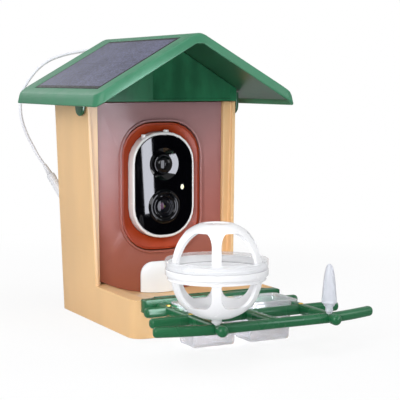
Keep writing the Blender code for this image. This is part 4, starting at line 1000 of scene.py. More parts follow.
def carved(piece: Piece, cutter: Piece) -> Piece:
    """Take the cutter's shape out of a piece.

    Args:
        piece: The piece.
        cutter: The shape to remove, which is then deleted.

    Returns:
        The piece.
    """
    modifier = piece.modifiers.new("carve", "BOOLEAN")
    modifier.operation = "DIFFERENCE"
    modifier.solver = "EXACT"
    modifier.object = cutter
    settled(piece)
    bpy.data.objects.remove(cutter)
    return piece


def merged(name: str, pieces: Sequence[Piece]) -> Piece:
    """Make one object of several.

    Args:
        name: The new piece's name.
        pieces: The objects, which are deleted.

    Returns:
        The new piece.
    """
    work = bmesh.new()
    for piece in pieces:
        work.from_mesh(piece.data)
        bpy.data.objects.remove(piece)
    return linked(name, work, bpy.data.meshes.new(name))


@dataclass
class Housing:
    """The amber housing with its cover, pocket, screws and hinge pins.

    A screw's head shape is shares of its radius and of the head's height, its shank is shares of
    its radius and length, and its recess reaches a share of its radius.
    """

    edge: float = 0.0005
    pocket_edge: float = 0.0004
    pin_edge: float = 0.0002
    screws: int = 4
    head: float = 0.0012
    head_shape: tuple[Pair, ...] = ((0, 0), (0.55, 0.08), (0.86, 0.35), (1, 0.8), (1, 1), (0.47, 1))
    shank: Pair = (0.47, 0.9)
    recess: float = 0.0007
    recess_half: float = 0.0004
    recess_reach: float = 0.6
    sides: int = 32

    def build(self) -> list[Piece]:
        """Build the mouldings and the screws.

        Returns:
            The pieces.
        """
        made = mouldings(Body.HOUSING, (
            ("housing", "amber_housing", self.edge, AMBER),
            ("base_plate", "amber_cover", self.edge, AMBER_INSIDE),
            ("camera_pocket", "camera_pocket_moulding", self.pocket_edge, POCKET_PAINTED_SHADE)))
        for index in range(1, self.screws + 1):
            made.append(self._screw(f"base_screw_{index}", (0, 0, -1)))
            made.append(self._screw(f"pocket_screw_{index}", (0, 1, 0)))
        pins = [(f"hinge_pin_{side}", f"steel_hinge_pin_{side}", self.pin_edge, STEEL)
                for side in ("left", "right")]
        return made + mouldings(Body.HOUSING, pins)

    def _screw(self, node: str, way: Point) -> Piece:
        """A pan-head screw with a cross recess.

        Args:
            node: The CAD screw.
            way: The direction that its head faces.

        Returns:
            The screw.
        """
        _, middle, half = extent(node)
        long, radius = max(half) * 2, min(half)
        centre = tuple(middle + Vector(way) * (long / 2))
        profile = [(radius * wide, -self.head * deep) for wide, deep in self.head_shape]
        profile += [(radius * self.shank[0], -long * self.shank[1]), (0, -long)]
        screw = turned(f"{node}_turned", profile, centre, way, self.sides)
        arm, thin = radius * self.recess_reach, self.recess_half
        for quarter in (0, 90):
            place = facing(centre, way) @ Matrix.Rotation(math.radians(quarter), 4, "Z")
            rings = [[tuple(place @ Vector((x, y, z)))
                      for x, y in ((-arm, -thin), (arm, -thin), (arm, thin), (-arm, thin))]
                     for z in (-self.recess, self.head)]
            carved(screw, lofted("recess", rings))
        return hand_over(smoothed(screw, CUT_CREASE), Body.HOUSING, STEEL, node)


@dataclass
class FrontWindow:
    """The tinted window with its collar, and the white gate in front of its mouth."""

    edge: float = 0.0005
    gate_edge: float = 0.0007

    def build(self) -> list[Piece]:
        """Build the window and the gate.

        Returns:
            The pieces.
        """
        low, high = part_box("front_window")
        smoke = SmokedPane("smoked_window_plastic", Slot.SMOKE, low.z, high.z)
        pane = mouldings(Body.HOUSING, [("front_window", "smoked_window", self.edge, smoke)])
        gate = [("feed_gate", "white_gate", self.gate_edge, GATE_WHITE)]
        return pane + mouldings(Body.GATE, gate, steps=3)


@dataclass
class CameraUnit:
    """The pull-out camera: white shell, black gloss face, sensor dome, lens and buttons.

    The profiles are radii and heights out of the face. Those of the bezel are measured from its
    outer radius, and those of the buttons are shares of their radius.
    """

    shell_edge: float = 0.0009
    face_corner: float = 0.0252
    face_bulge: float = 0.0006
    face_thick: float = 0.0026
    face_least: float = 0.0004
    face_columns: int = 72
    face_inset: float = 0.9999
    face_crease: float = 20
    dish_start: float = 0.001
    dish: tuple[Pair, ...] = (
        (0, 0.0005), (0.016472, 0.0005), (0.0144272, -0.0009), (0.0142, -0.0011),
        (0.008343, -0.0034), (0, -0.0034))
    dome_radius: float = 0.0081
    dome_rise: float = 0.0052
    dome_steps: int = 16
    dome_sides: int = 72
    ring_sides: int = 96
    ring_crease: float = 24
    dome_foot: tuple[Pair, ...] = ((0.008586, -0.0001), (0.008586, -0.0009), (0, -0.0009))
    bezel_radius: float = 0.0133
    hole: Pair = (0.002, -0.006)
    bezel: tuple[Pair, ...] = (
        (0.0021, -0.0002), (0.0019, 0.0003), (0.0006, 0.0012), (0.0001, 0.0017), (-0.0008, 0.0019),
        (-0.0015, 0.0016), (-0.0019, 0.0008), (-0.0028, 0.0006), (-0.0031, 0.0012),
        (-0.0037, 0.0013), (-0.0041, 0.0009), (-0.0041, -0.0030), (-0.0008, -0.0030),
        (-0.0008, -0.0002))
    barrel: tuple[Pair, ...] = (
        (0.0090, 0.0004), (0.0088, 0.0006), (0.0083, 0.0004), (0.0081, -0.0004), (0.0074, -0.0006),
        (0.0073, -0.0002), (0.0069, -0.0002), (0.0066, -0.0010), (0.0061, -0.0012),
        (0.0061, -0.0038), (0.0090, -0.0038))
    glass_radius: float = 0.0061
    glass_edge: float = -0.0011
    glass_rise: float = 0.0009
    glass_back: float = -0.0036
    glass_steps: int = 12
    light_sides: int = 40
    light_rings: tuple[Pair, ...] = ((0.55, -0.0003), (0.86, -0.0002), (1, 0.0001), (1, 0.0010))
    button_crown: tuple[Pair, ...] = (
        (0, -0.0002), (0.6, -0.0001), (0.78, 0), (0.93, -0.0002), (1, -0.0008))
    button_foot: tuple[Pair, ...] = ((1, 0.0014), (0.55, 0), (0, 0))
    button_sides: int = 48

    def build(self) -> list[Piece]:
        """Build the shell and everything on it.

        Returns:
            The pieces.
        """
        shell = [("camera_shell", "camera_white_shell", self.shell_edge, SHELL_WHITE)]
        made = mouldings(Body.CAMERA, shell, steps=3)
        made += [self._face(), self._dome(), *self._lens(), self._light()]
        for node, body in (("button_left", Body.BUTTON_LEFT), ("button_right", Body.BUTTON_RIGHT)):
            cap = capped(f"{node}_cap", node, self.button_crown, self.button_foot,
                         self.button_sides)
            made.append(hand_over(cap, body, SHELL_WHITE, node))
        return made

    def _face(self) -> Piece:
        """The slightly crowned black face with its dish and lens hole.

        Returns:
            The face.
        """
        low, middle, half = extent("camera_face")
        corner, back = self.face_corner, low.y + self.face_thick
        rings = []
        for column in range(self.face_columns + 1):
            x = -half.x * math.cos(math.pi * column / self.face_columns) * self.face_inset
            out = max(abs(x) - (half.x - corner), 0)
            reach = half.z - corner + math.sqrt(max(corner ** 2 - out ** 2, 0))
            high, deep = middle.z + max(reach, self.face_least), middle.z - max(reach, self.face_least)
            front = low.y + self.face_bulge * (x / half.x) ** 2
            rings.append([(x, front, high), (x, front, deep), (x, back, deep), (x, back, high)])
        face = lofted("camera_gloss_face", rings)
        dome, lens = extent("sensor_dome")[1], extent("lens_bezel")[1]
        spot = (dome.x, low.y - self.dish_start, dome.z)
        carved(face, turned("dish", self.dish, spot, FORWARD, self.ring_sides))
        out, (top, bottom) = self.bezel_radius, self.hole
        hole = ((0, top), (out, top), (out, bottom), (0, bottom))
        carved(face, turned("hole", hole, (lens.x, low.y, lens.z), FORWARD, self.ring_sides))
        return hand_over(smoothed(face, self.face_crease), Body.CAMERA, FACE_BLACK, "camera_face")

    def _dome(self) -> Piece:
        """The black sensor dome with a fine foot ring.

        Returns:
            The dome.
        """
        _, middle, half = extent("sensor_dome")
        angles = [math.radians(90 - 90 * step / self.dome_steps) for step in range(1, self.dome_steps + 1)]
        profile = [(0, self.dome_rise), *((self.dome_radius * math.cos(angle),
                                           self.dome_rise * math.sin(angle)) for angle in angles)]
        dome = turned("sensor_black_dome", [*profile, *self.dome_foot],
                      (middle.x, middle.y + half.y, middle.z), FORWARD, self.dome_sides)
        return hand_over(dome, Body.CAMERA, DOME_BLACK, "sensor_dome")

    def _lens(self) -> list[Piece]:
        """The flange, bezel, stepped barrel and lens glass.

        Returns:
            The three pieces.
        """
        middle = extent("lens_bezel")[1]
        spot = (middle.x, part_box("camera_face")[0].y, middle.z)
        bezel = [(self.bezel_radius + out, rise) for out, rise in self.bezel]
        shares = [step / self.glass_steps for step in range(self.glass_steps + 1)]
        glass = [(self.glass_radius * share, self.glass_edge + self.glass_rise * (1 - share ** 2))
                 for share in shares]
        glass += [(self.glass_radius, self.glass_back), (0, self.glass_back)]
        coat = CoatedGlass("lens_coated_glass", Slot.LENS, spot, self.glass_radius)
        rings = [hand_over(turned(name, profile, spot, FORWARD, self.ring_sides, True, self.ring_crease),
                           Body.CAMERA, finish, node)
                 for name, profile, finish, node in (
                     ("lens_black_bezel", bezel, BLACK_BEZEL, "lens_bezel"),
                     ("lens_stepped_barrel", self.barrel, BLACK_BARREL, "lens_barrel"))]
        pane = turned("lens_front_glass", glass, spot, FORWARD, self.dome_sides)
        return [*rings, hand_over(pane, Body.CAMERA, coat, "lens_glass")]

    def _light(self) -> Piece:
        """The oval status light.

        Returns:
            The light.
        """
        low, middle, half = extent("status_light")
        rings = [[(middle.x + x, low.y + deep, middle.z + z)
                  for x, z in ring_loop(half.x * share, self.light_sides, half.z * share)]
                 for share, deep in self.light_rings]
        light = StatusLight("status_light_lens", Slot.FROST, tuple(middle), half.z)
        return hand_over(lofted("status_light_oval", rings), Body.CAMERA, light, "status_light")


@dataclass
class Roof:
    """The green roof with its solar panel, ceiling, gables, tabs and hinge leaf."""

    edge: float = 0.0008
    thin_edge: float = 0.0004
    tab_edge: float = 0.0001
    panel_edge: float = 0.0003

    def build(self) -> list[Piece]:
        """Build every piece of the roof.

        Returns:
            The pieces.
        """
        low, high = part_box("solar_panel")
        cells = SolarCells("solar_cell_film", Slot.SOLAR, low.x, high.x, low.y, high.y)
        return mouldings(Body.ROOF, (
            ("roof_shell", "green_roof_shell", self.edge, ROOF_GREEN),
            ("solar_panel", "solar_film_panel", self.panel_edge, cells),
            ("roof_liner", "green_ceiling", self.thin_edge, CEILING_GREEN),
            ("gable_collar", "green_gables", self.thin_edge, GABLE_GREEN),
            ("hinge_leaf", "green_hinge_leaf", self.thin_edge, GABLE_GREEN),
            ("roof_tab_left", "green_tab_left", self.tab_edge, TAB_GREEN),
            ("roof_tab_right", "green_tab_right", self.tab_edge, TAB_GREEN)))


@dataclass
class WallFixings:
    """The wall pad and the rubber charging boot on the back."""

    edge: float = 0.0005
    boot_edge: float = 0.00025

    def build(self) -> list[Piece]:
        """Build the pad and the boot."""
        return mouldings(Body.HOUSING, (("wall_pad", "amber_wall_pad", self.edge, AMBER_INSIDE),
                                        ("charge_port", "rubber_port_boot", self.boot_edge, RUBBER)))


@dataclass
class CableRun:
    """The white cable from the roof to the charging port, with its grommet, relief and plug.

    The route holds side positions, depths and heights. The other shapes are shares of a radius
    and positions along the axis.
    """

    radius: float = 0.00145
    sides: int = 20
    steps: int = 8
    fixed_height: float = 0.130
    port: Point = (-0.057, -0.0140, 0.0980)
    relief_long: float = 0.0100
    relief_radius: float = 0.0026
    relief_neck: float = 0.00174
    relief_ribs: int = 6
    relief_sides: int = 32
    rib_shape: tuple[Pair, ...] = ((1, 0.08), (1, 0.55), (0.86, 0.66), (0.86, 0.94))
    plug_radius: float = 0.0040
    plug_past: float = 0.0014
    plug_sides: int = 40
    plug_shape: tuple[Pair, ...] = (
        (0, 0), (0.66, 0), (0.90, 0.0006), (1, 0.0016), (1, 0.0060), (0.88, 0.0066), (0.88, 0.0078),
        (1, 0.0084), (1, 0.0102), (0.88, 0.0108), (0.88, 0.0120), (1, 0.0126))
    plug_tip: tuple[Pair, ...] = ((1, -0.0004), (0.9, 0), (0, 0))
    grommet_shape: tuple[Pair, ...] = ((0.72, 1), (0.80, 0.8), (0.95, 0.72), (1, 0.6), (1, 0))
    gap: float = 0.0003
    route: tuple[Point, ...] = (
        (-0.0080, -0.0530, 0.2385), (-0.0130, -0.0570, 0.2382), (-0.0228, -0.0615, 0.2368),
        (-0.0375, -0.0640, 0.2338), (-0.0520, -0.0650, 0.2287), (-0.0640, -0.0645, 0.2208),
        (-0.0742, -0.0620, 0.2104), (-0.0812, -0.0590, 0.2008), (-0.0846, -0.0570, 0.1915),
        (-0.0860, -0.0545, 0.1815), (-0.0851, -0.0525, 0.1710), (-0.0817, -0.0500, 0.1590),
        (-0.0771, -0.0470, 0.1480), (-0.0727, -0.0425, 0.1375), (-0.0690, -0.0365, 0.1300))

    def points(self) -> list[Point]:
        """The cable's centre line, a smooth curve through the route.

        Returns:
            Its points.
        """
        knots = [Vector((x, forward(depth), z)) for x, depth, z in self.route]
        line = []
        for index in range(len(knots) - 1):
            a, b = knots[max(index - 1, 0)], knots[index]
            c, d = knots[index + 1], knots[min(index + 2, len(knots) - 1)]
            for step in range(self.steps):
                t = step / self.steps
                spot = b * 2 + (c - a) * t + (a * 2 - b * 5 + c * 4 - d) * t * t
                spot += (b * 3 - a - c * 3 + d) * t ** 3
                line.append(tuple(spot / 2))
        return [*line, tuple(knots[-1])]

    def build(self) -> list[Piece]:
        """Build the cable and what is on it.

        Returns:
            The pieces.
        """
        line = self.points()
        loop = ring_loop(self.radius, self.sides)
        cable = swept("white_solar_cable", line, lambda index: loop)
        cable.data.materials.append(material_of(CORD_WHITE))
        relief, plug = self._relief(), self._plug()
        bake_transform(cable)
        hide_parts("solar_cable")
        return [cable, relief, plug, self._grommet()]

    def _heading(self) -> tuple[Point, Point, float]:
        """The cable's end, the way to the port and the distance."""
        end, mouth = (Vector((x, forward(depth), z)) for x, depth, z in (self.route[-1], self.port))
        return tuple(end), tuple((mouth - end).normalized()), (mouth - end).length

    def _relief(self) -> Piece:
        """The ribbed strain relief.

        Returns:
            The relief.
        """
        end, way, _ = self._heading()
        pitch, neck = self.relief_long / self.relief_ribs, self.relief_neck
        profile = [(0, self.gap)]
        for rib in range(self.relief_ribs):
            wide = neck + (self.relief_radius - neck) * (rib + 1) / self.relief_ribs
            profile += [(wide * share, self.gap + pitch * (rib + part)) for share, part in self.rib_shape]
        profile.append((0, self.relief_long))
        relief = turned("cable_ribbed_relief", profile, end, way, self.relief_sides)
        return hand_over(relief, Body.HOUSING, PLUG_WHITE, "cable_relief")

    def _plug(self) -> Piece:
        """The round plug with its grip grooves.

        Returns:
            The plug.
        """
        end, way, size = self._heading()
        start, stop = self.relief_long + self.gap * 2, size + self.plug_past
        profile = [(self.plug_radius * share, start + along) for share, along in self.plug_shape]
        profile += [(self.plug_radius * share, stop + along) for share, along in self.plug_tip]
        plug = turned("cable_white_plug", profile, end, way, self.plug_sides)
        return hand_over(plug, Body.HOUSING, PLUG_WHITE, "cable_plug")

    def _grommet(self) -> Piece:
        """The rubber grommet in the rear fascia.

        Returns:
            The grommet.
        """
        low, middle, half = extent("cable_outlet")
        bore, long = self.radius + self.gap, half.y * 2
        profile = [(bore, 0), (bore, long), *((half.x * wide, long * along)
                                              for wide, along in self.grommet_shape)]
        spot = (middle.x, low.y, middle.z)
        ring = turned("cable_rubber_grommet", profile, spot, (0, 1, 0), self.plug_sides, True)
        return hand_over(ring, Body.ROOF, RUBBER, "cable_outlet")


@dataclass
class Perch:
    """The green perch ladder that hangs on the tray rim, with its brass pins.

    Its profiles are shares of a half width or a radius, and of a half height or a length. The
    pins' heights are in metres.
    """

    strut_out: float = 0.0491
    bar_half: float = 0.0040
    bar_sink: float = 0.0003
    bar_end: float = 0.0026
    bar_corner: float = 0.86
    corner_steps: int = 6
    end_taper: float = 0.9
    end_steps: int = 6
    bar_crease: float = 50
    front_gap: float = 0.0106
    middle_gap: float = 0.0406
    rear_gap: float = 0.0401
    rear_out: float = 0.0204
    middle_out: float = 0.0344
    front_sweep: float = 0.0105
    sweep_power: float = 1.35
    front_steps: int = 40
    strut_crease: float = 40
    strut_side: tuple[Pair, ...] = (
        (-0.6, 0.96), (-0.85, 0.80), (-1, 0.45), (-1, -0.4), (-0.7, -0.85), (-0.3, -0.98))
    nub_radius: float = 0.0043
    nub_round: float = 0.8
    nub_sides: int = 40
    nub_neck: tuple[Pair, ...] = ((0.97, 0.45), (0.80, 0.32), (0.76, 0), (0, 0))
    clamp_edge: float = 0.0007
    pins: int = 4
    pin_crown: tuple[Pair, ...] = (
        (0, 0), (0.35, -0.00005), (0.7, -0.0002), (0.95, -0.0005), (1, -0.0008))
    pin_foot: tuple[Pair, ...] = ((1, 0), (0, 0))
    pin_sides: int = 36

    def build(self) -> list[Piece]:
        """Build the clamp, the ladder and the pins.

        Returns:
            The pieces.
        """
        clamp = [("perch_clamp", "green_rim_clamp", self.clamp_edge, PERCH_GREEN)]
        made = [*mouldings(Body.PERCH, clamp, steps=3), self._ladder()]
        for node in (f"perch_pin_{index}" for index in range(1, self.pins + 1)):
            pin = capped(f"{node}_brass", node, self.pin_crown, self.pin_foot, self.pin_sides)
            made.append(hand_over(pin, Body.PERCH, BRASS, node))
        return made

    def _section(self, tall: float, share: float) -> Loop:
        """A bar's round-cornered section.

        Args:
            tall: Half its height.
            share: The part of the full size that it has.

        Returns:
            The outline.
        """
        half = self.bar_half
        corner = min(half, tall) * self.bar_corner * share
        return rounded_loop((-half * share, -tall * share), (half * share, tall * share), corner,
                            self.corner_steps)

    def _bar(self, name: str, path: list[Point], tall: float) -> Piece:
        """A bar with round ends.

        Args:
            name: The bar's name.
            path: The points of its centre line.
            tall: Half its height.

        Returns:
            The bar.
        """
        spots = [Vector(spot) for spot in path]
        start, finish, end = spots[0], spots[-1], self.bar_end
        first, last = (spots[1] - start).normalized(), (spots[-2] - finish).normalized()
        angles = [math.pi / 2 * step / self.end_steps for step in range(self.end_steps + 1)]
        ends = [(1 - math.cos(angle), 1 - end / self.bar_half * (1 - math.sin(angle)) * self.end_taper)
                for angle in angles]
        rows = [(start + first * end * along, share) for along, share in ends]
        rows += [(spot, 1) for spot in spots
                 if (spot - start).length > end and (spot - finish).length > end]
        rows += [(finish + last * end * along, share) for along, share in reversed(ends)]
        return swept(name, [spot for spot, _ in rows],
                     lambda index: self._section(tall, rows[index][1]), self.bar_crease)

    def _ladder(self) -> Piece:
        """The bars, struts and nubs as one moulding.

        Returns:
            The ladder.
        """
        low, middle, size = extent("perch_frame")
        level, tall, reach = middle.z, size.z, size.x
        sunk = level - self.bar_sink
        front = low.y + self.bar_half + self.front_gap
        centre = front + self.middle_gap
        bars = []
        for y, out in ((centre + self.rear_gap, self.rear_out), (centre, self.middle_out)):
            half = self.strut_out + out
            path = [(half * part, y, sunk) for part in (-1, -0.5, 0, 0.5, 1)]
            bars.append(self._bar("bar", path, tall - self.bar_sink))
        bend = self.strut_out + self.bar_half
        path = []
        for step in range(self.front_steps + 1):
            x = -reach + reach * 2 * step / self.front_steps
            out = max(abs(x) - bend, 0) / (reach - bend)
            path.append((x, front + self.front_sweep * out ** self.sweep_power, sunk))
        bars.append(self._bar("bar_front", path, tall - self.bar_sink))
        for x in (-self.strut_out, self.strut_out):
            bars.append(self._strut(x, front, middle.y + size.y, level, tall))
            bars.append(self._nub((x, front, level), front - low.y))
        bars.append(self._strut(0, front, centre, level, tall))
        return hand_over(merged("green_perch_ladder", bars), Body.PERCH, PERCH_GREEN, "perch_frame")

    def _strut(self, x: float, front: float, back: float, level: float, tall: float) -> Piece:
        """A strut with a flat top.

        Args:
            x: Its side position.
            front: Y of its front end.
            back: Y of its rear end.
            level: The height of its middle.
            tall: Half its height.

        Returns:
            The strut.
        """
        section = [(self.bar_half * side, tall * rise) for side, rise in self.strut_side]
        section.extend([(-side, rise) for side, rise in reversed(section)])
        rings = [[(x + side, y, level + rise) for side, rise in section] for y in (front, back)]
        return lofted("strut", rings, self.strut_crease)

    def _nub(self, root: Point, long: float) -> Piece:
        """The round rod end in front of the front bar.

        Args:
            root: Where it leaves the front bar.
            long: Its length.

        Returns:
            The nub.
        """
        radius, crown = self.nub_radius, self.nub_radius * self.nub_round
        profile = [(radius * math.sin(angle), long - crown + crown * math.cos(angle))
                   for angle in (math.radians(step) for step in range(0, 91, 9))]
        profile += [(radius * wide, long * along) for wide, along in self.nub_neck]
        return turned("nub", profile, root, FORWARD, self.nub_sides)


@dataclass
class Cups:
    """The two clear feed cups that hang in the ladder.

    The skin's rows hold an outline's half sizes, how much it grows, its height as a share of the
    cup's, and what is added to that height. They run up the outside and down the inside.
    """

    base: Pair = (0.01835, 0.01405)
    neck: Pair = (0.0199, 0.0157)
    rim: Pair = (0.02365, 0.01920)
    corner: float = 0.0036
    crease: float = 44
    skin: tuple[tuple[Pair, float, float, float], ...] = (
        (base, -0.0022, 0, 0), (base, -0.0008, 0, 0.0004), (base, 0, 0, 0.0018),
        (neck, 0, 1, -0.0016), (rim, -0.0010, 1, -0.0010), (rim, -0.0002, 1, -0.0013),
        (rim, 0, 1, -0.0008), (rim, -0.0002, 1, -0.0001), (rim, -0.0010, 1, 0),
        (neck, -0.00044, 1, -0.0001), (neck, -0.0011, 1, -0.0008), (base, -0.0011, 0, 0.0034),
        (base, -0.00176, 0, 0.0021), (base, -0.0033, 0, 0.0011))

    def build(self) -> list[Piece]:
        """Build both cups."""
        return [self._cup("cup_left", Body.CUP_LEFT), self._cup("cup_right", Body.CUP_RIGHT)]

    def _cup(self, node: str, body: Body) -> Piece:
        """One cup, its wall and its rolled rim as one closed skin.

        Args:
            node: The CAD cup.
            body: The body it rides on.

        Returns:
            The cup.
        """
        low, middle, half = extent(node)
        rings = []
        for (half_x, half_y), grow, share, rise in self.skin:
            x, y = half_x + grow, half_y + grow
            loop = rounded_loop((middle.x - x, middle.y - y), (middle.x + x, middle.y + y),
                                min(self.corner + grow, x, y))
            level = low.z + half.z * 2 * share + rise
            rings.append([(along, across, level) for along, across in loop])
        return hand_over(lofted(f"clear_{node}", rings, self.crease), body, CUP_CLEAR, node)


@dataclass
class FruitBall:
    """The white fruit ball: lower cage, ring with a clear lip, and lifting upper cage.

    The profiles are radii and heights above the floor. The heights of the neck and the crown are
    measured from the ends of the ball instead.
    """

    radius: float = 0.0366
    middle: float = 0.0715
    wall: float = 0.0024
    flat: float = 0.0125
    flat_inside: float = 0.01125
    ring_high: float = 0.0730
    lower_band: tuple[Pair, ...] = (
        (0.0362, 0.0687), (0.0367, 0.0682), (0.0367, 0.0674), (0.0360, 0.0670), (0.0360, 0.0660),
        (0.0364, 0.0655), (0.0356, 0.0642))
    lower_top: float = 0.0640
    neck: tuple[Pair, ...] = ((0.00722, -0.0004), (0.00437, -0.0016), (0.0038, -0.0026))
    peg: tuple[Pair, ...] = ((0.0038, 0.0325), (0.0034, 0.0322), (0.0022, 0.0322))
    peg_low: float = 0.0270
    ring: tuple[Pair, ...] = (
        (0.03252, 0.0690), (0.0370, 0.0690), (0.0378, 0.0686), (0.0380, 0.0690), (0.0380, 0.0726),
        (0.0377, 0.0730), (0.0370, 0.0727), (0.03252, 0.0727))
    lip: tuple[Pair, ...] = (
        (0.0370, 0.0731), (0.0377, 0.0731), (0.0379, 0.0780), (0.0381, 0.0798), (0.0378, 0.0802),
        (0.0374, 0.0799), (0.0371, 0.0780))
    upper_band: tuple[Pair, ...] = (
        (0.0361, 0.0730), (0.0366, 0.0735), (0.0366, 0.0752), (0.0360, 0.0756), (0.0360, 0.0768),
        (0.0357, 0.0774))
    crown: tuple[Pair, ...] = (
        (0.01175, 0.0002), (0.01, 0.0002), (0.00925, -0.0004), (0, -0.0004))
    lower_window: Pair = (0.0470, 0.0652)
    upper_window: Pair = (0.0780, 0.1006)
    window_reach: Pair = (0.40, 1.25)
    window_step: float = 0.002
    rib: float = 0.0068
    ribs: int = 6
    aim: float = math.radians(-117.8)
    corner: float = 0.0080
    edge_corner: float = 0.0012
    corner_steps: int = 6
    sides: int = 120
    arc_steps: int = 18
    lip_crease: float = 40

    def build(self) -> list[Piece]:
        """Build the lower cage, the ring, its lip and the upper cage.

        Returns:
            The pieces.
        """
        lower, ring = self._lower(), self._turned("ball_white_ring", self.ring, CREASE)
        return [lower, hand_over(ring, Body.BALL, BALL_WHITE, "ball_ring"),
                hand_over(self._turned("ball_clear_lip", self.lip, self.lip_crease), Body.BALL, RING_CLEAR),
                self._upper()]

    def _turned(self, name: str, profile: Sequence[Pair], crease: float = CUT_CREASE) -> Piece:
        """A closed profile turned about the ball's axis."""
        middle = extent("ball_ring")[1]
        return turned(name, profile, (middle.x, middle.y, 0), UP, self.sides, True, crease)

    def _arc(self, low: float, high: float, radius: float) -> Loop:
        """The wall's profile between two heights.

        Args:
            low: The lower height.
            high: The upper height.
            radius: The wall's radius.

        Returns:
            Radii and heights, from low to high.
        """
        first, last = (math.asin(max(min((level - self.middle) / radius, 1), -1)) for level in (low, high))
        steps = self.arc_steps
        angles = [first + (last - first) * step / steps for step in range(steps + 1)]
        return [(radius * math.cos(angle), self.middle + radius * math.sin(angle)) for angle in angles]

    def _ends(self) -> Pair:
        """Half the height of the ball's outside and of its inside, at the flat parts."""
        return (math.sqrt(self.radius ** 2 - self.flat ** 2),
                math.sqrt((self.radius - self.wall) ** 2 - self.flat_inside ** 2))

    def _windows(self, cage: Piece, loop: Loop) -> Piece:
        """Cut the windows between the ribs.

        Args:
            cage: The closed cage.
            loop: A window's outline.

        Returns:
            The open cage.
        """
        middle = extent("ball_ring")[1]
        sector = math.tau / self.ribs
        for index in range(self.ribs):
            start = self.aim + sector * index
            rings = []
            for reach in (self.radius * share for share in self.window_reach):
                margin = math.asin(self.rib / 2 / reach)
                angles = [start + margin + (sector - margin * 2) * share for share, _ in loop]
                rings.append([(middle.x + reach * math.cos(angle), middle.y + reach * math.sin(angle), z)
                              for angle, (_, z) in zip(angles, loop)])
            carved(cage, lofted("window", rings))
        return smoothed(cage, CUT_CREASE)

    def _window_loop(self, heights: Pair, above: float, below: float) -> Loop:
        """A window's outline: share of the way across, and height.

        Args:
            heights: The window's lower and upper edge.
            above: The radius of its upper corners.
            below: The radius of its lower corners.

        Returns:
            The outline.
        """
        wide = math.tau * self.radius / self.ribs - self.rib
        loop = rounded_loop((0, heights[0]), (wide, heights[1]), above, self.corner_steps, below)
        dense = []
        for (ax, az), (bx, bz) in zip(loop, loop[1:] + loop[:1]):
            parts = max(int(math.dist((ax, az), (bx, bz)) / self.window_step), 1)
            dense += [((ax + (bx - ax) * part / parts) / wide, az + (bz - az) * part / parts)
                      for part in range(parts)]
        return dense

    def _lower(self) -> Piece:
        """The lower cage with its stem.

        Returns:
            The cage.
        """
        outside, inside = self._ends()
        low, floor = self.middle - outside, self.middle - inside
        outer = self._arc(low, self.lower_top, self.radius)[::-1]
        foot = max(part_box("ball_lower")[0].z, self.peg_low)
        stem = [*((wide, low + rise) for wide, rise in self.neck), *self.peg, (self.peg[-1][0], foot)]
        inner = self._arc(floor, self.lower_band[0][1], self.radius - self.wall)
        cage = self._turned("ball_lower_cage",
                            [*self.lower_band, *outer, *stem, (0, foot), (0, floor), *inner])
        loop = self._window_loop(self.lower_window, self.edge_corner, self.corner)
        return hand_over(self._windows(cage, loop), Body.BALL, BALL_WHITE, "ball_lower")

    def _upper(self) -> Piece:
        """The upper cage with its flat top.

        Returns:
            The cage.
        """
        outside, inside = self._ends()
        high, roof = self.middle + outside, self.middle + inside
        outer = self._arc(self.upper_window[0], high, self.radius)
        crown = [(wide, high + rise) for wide, rise in self.crown]
        inner = self._arc(self.ring_high, roof, self.radius - self.wall)[::-1]
        cage = self._turned("ball_upper_cage", [*self.upper_band, *outer, *crown, (0, roof), *inner])
        loop = self._window_loop(self.upper_window, self.corner, self.edge_corner)
        return hand_over(self._windows(cage, loop), Body.BALL_CAP, BALL_WHITE, "ball_upper")


@dataclass
class FruitSpike:
    """The frosted spike that fruit is pushed onto."""

    crease: float = 50
    profile: tuple[Pair, ...] = (
        (0.0000, 0.0696), (0.0008, 0.0694), (0.0014, 0.0690), (0.0019, 0.0684), (0.0024, 0.0676),
        (0.0029, 0.0662), (0.0033, 0.0648), (0.0037, 0.0627), (0.0041, 0.0602), (0.0045, 0.0573),
        (0.0048, 0.0543), (0.0051, 0.0510), (0.0053, 0.0484), (0.0056, 0.0447), (0.0059, 0.0410),
        (0.0060, 0.0402), (0.0060, 0.0396), (0.0056, 0.0391), (0.0050, 0.0386), (0.0045, 0.0380),
        (0.0042, 0.0372), (0.0032, 0.0364), (0.0028, 0.0354), (0.0030, 0.0344), (0.0030, 0.0326),
        (0.0023, 0.0322), (0.0023, 0.0266), (0.0000, 0.0266))

    def build(self) -> list[Piece]:
        """Build the spike.

        Returns:
            The piece.
        """
        middle = extent("fruit_spike")[1]
        spot = (middle.x, middle.y, 0)
        spike = turned("frosted_fruit_spike", self.profile, spot, crease=self.crease)
        return [hand_over(spike, Body.SPIKE, FROSTED, "fruit_spike")]


@dataclass(frozen=True)
class Lamp:
    """A rectangular light, which either lights matt surfaces or is only seen in gloss."""

    name: str
    spot: Point
    size: Pair
    power: float
    roll: float = 0
    lights_matt: bool = True
    colour: Colour = (0.97, 0.98, 1)
    aim: Point = (0, 0, 0.11)

    def build(self) -> None:
        """Put the lamp in the scene. One that is only seen in gloss is kept upright."""
        light = bpy.data.lights.new(self.name, "AREA")
        light.shape = "RECTANGLE"
        light.size, light.size_y = self.size
        light.energy = self.power
        light.color = self.colour
        lamp = bpy.data.objects.new(self.name, light)
        lamp.location = self.spot
        aim = Vector(self.aim) - Vector(self.spot)
        if not self.lights_matt:
            aim.z = 0
        turn = aim.to_track_quat("-Z", "Y").to_matrix().to_4x4()
        roll = Matrix.Rotation(math.radians(self.roll), 4, "Z")
        lamp.matrix_world = Matrix.Translation(self.spot) @ turn @ roll
        lamp.visible_camera = False
        lamp.visible_diffuse = self.lights_matt
        bpy.context.scene.collection.objects.link(lamp)


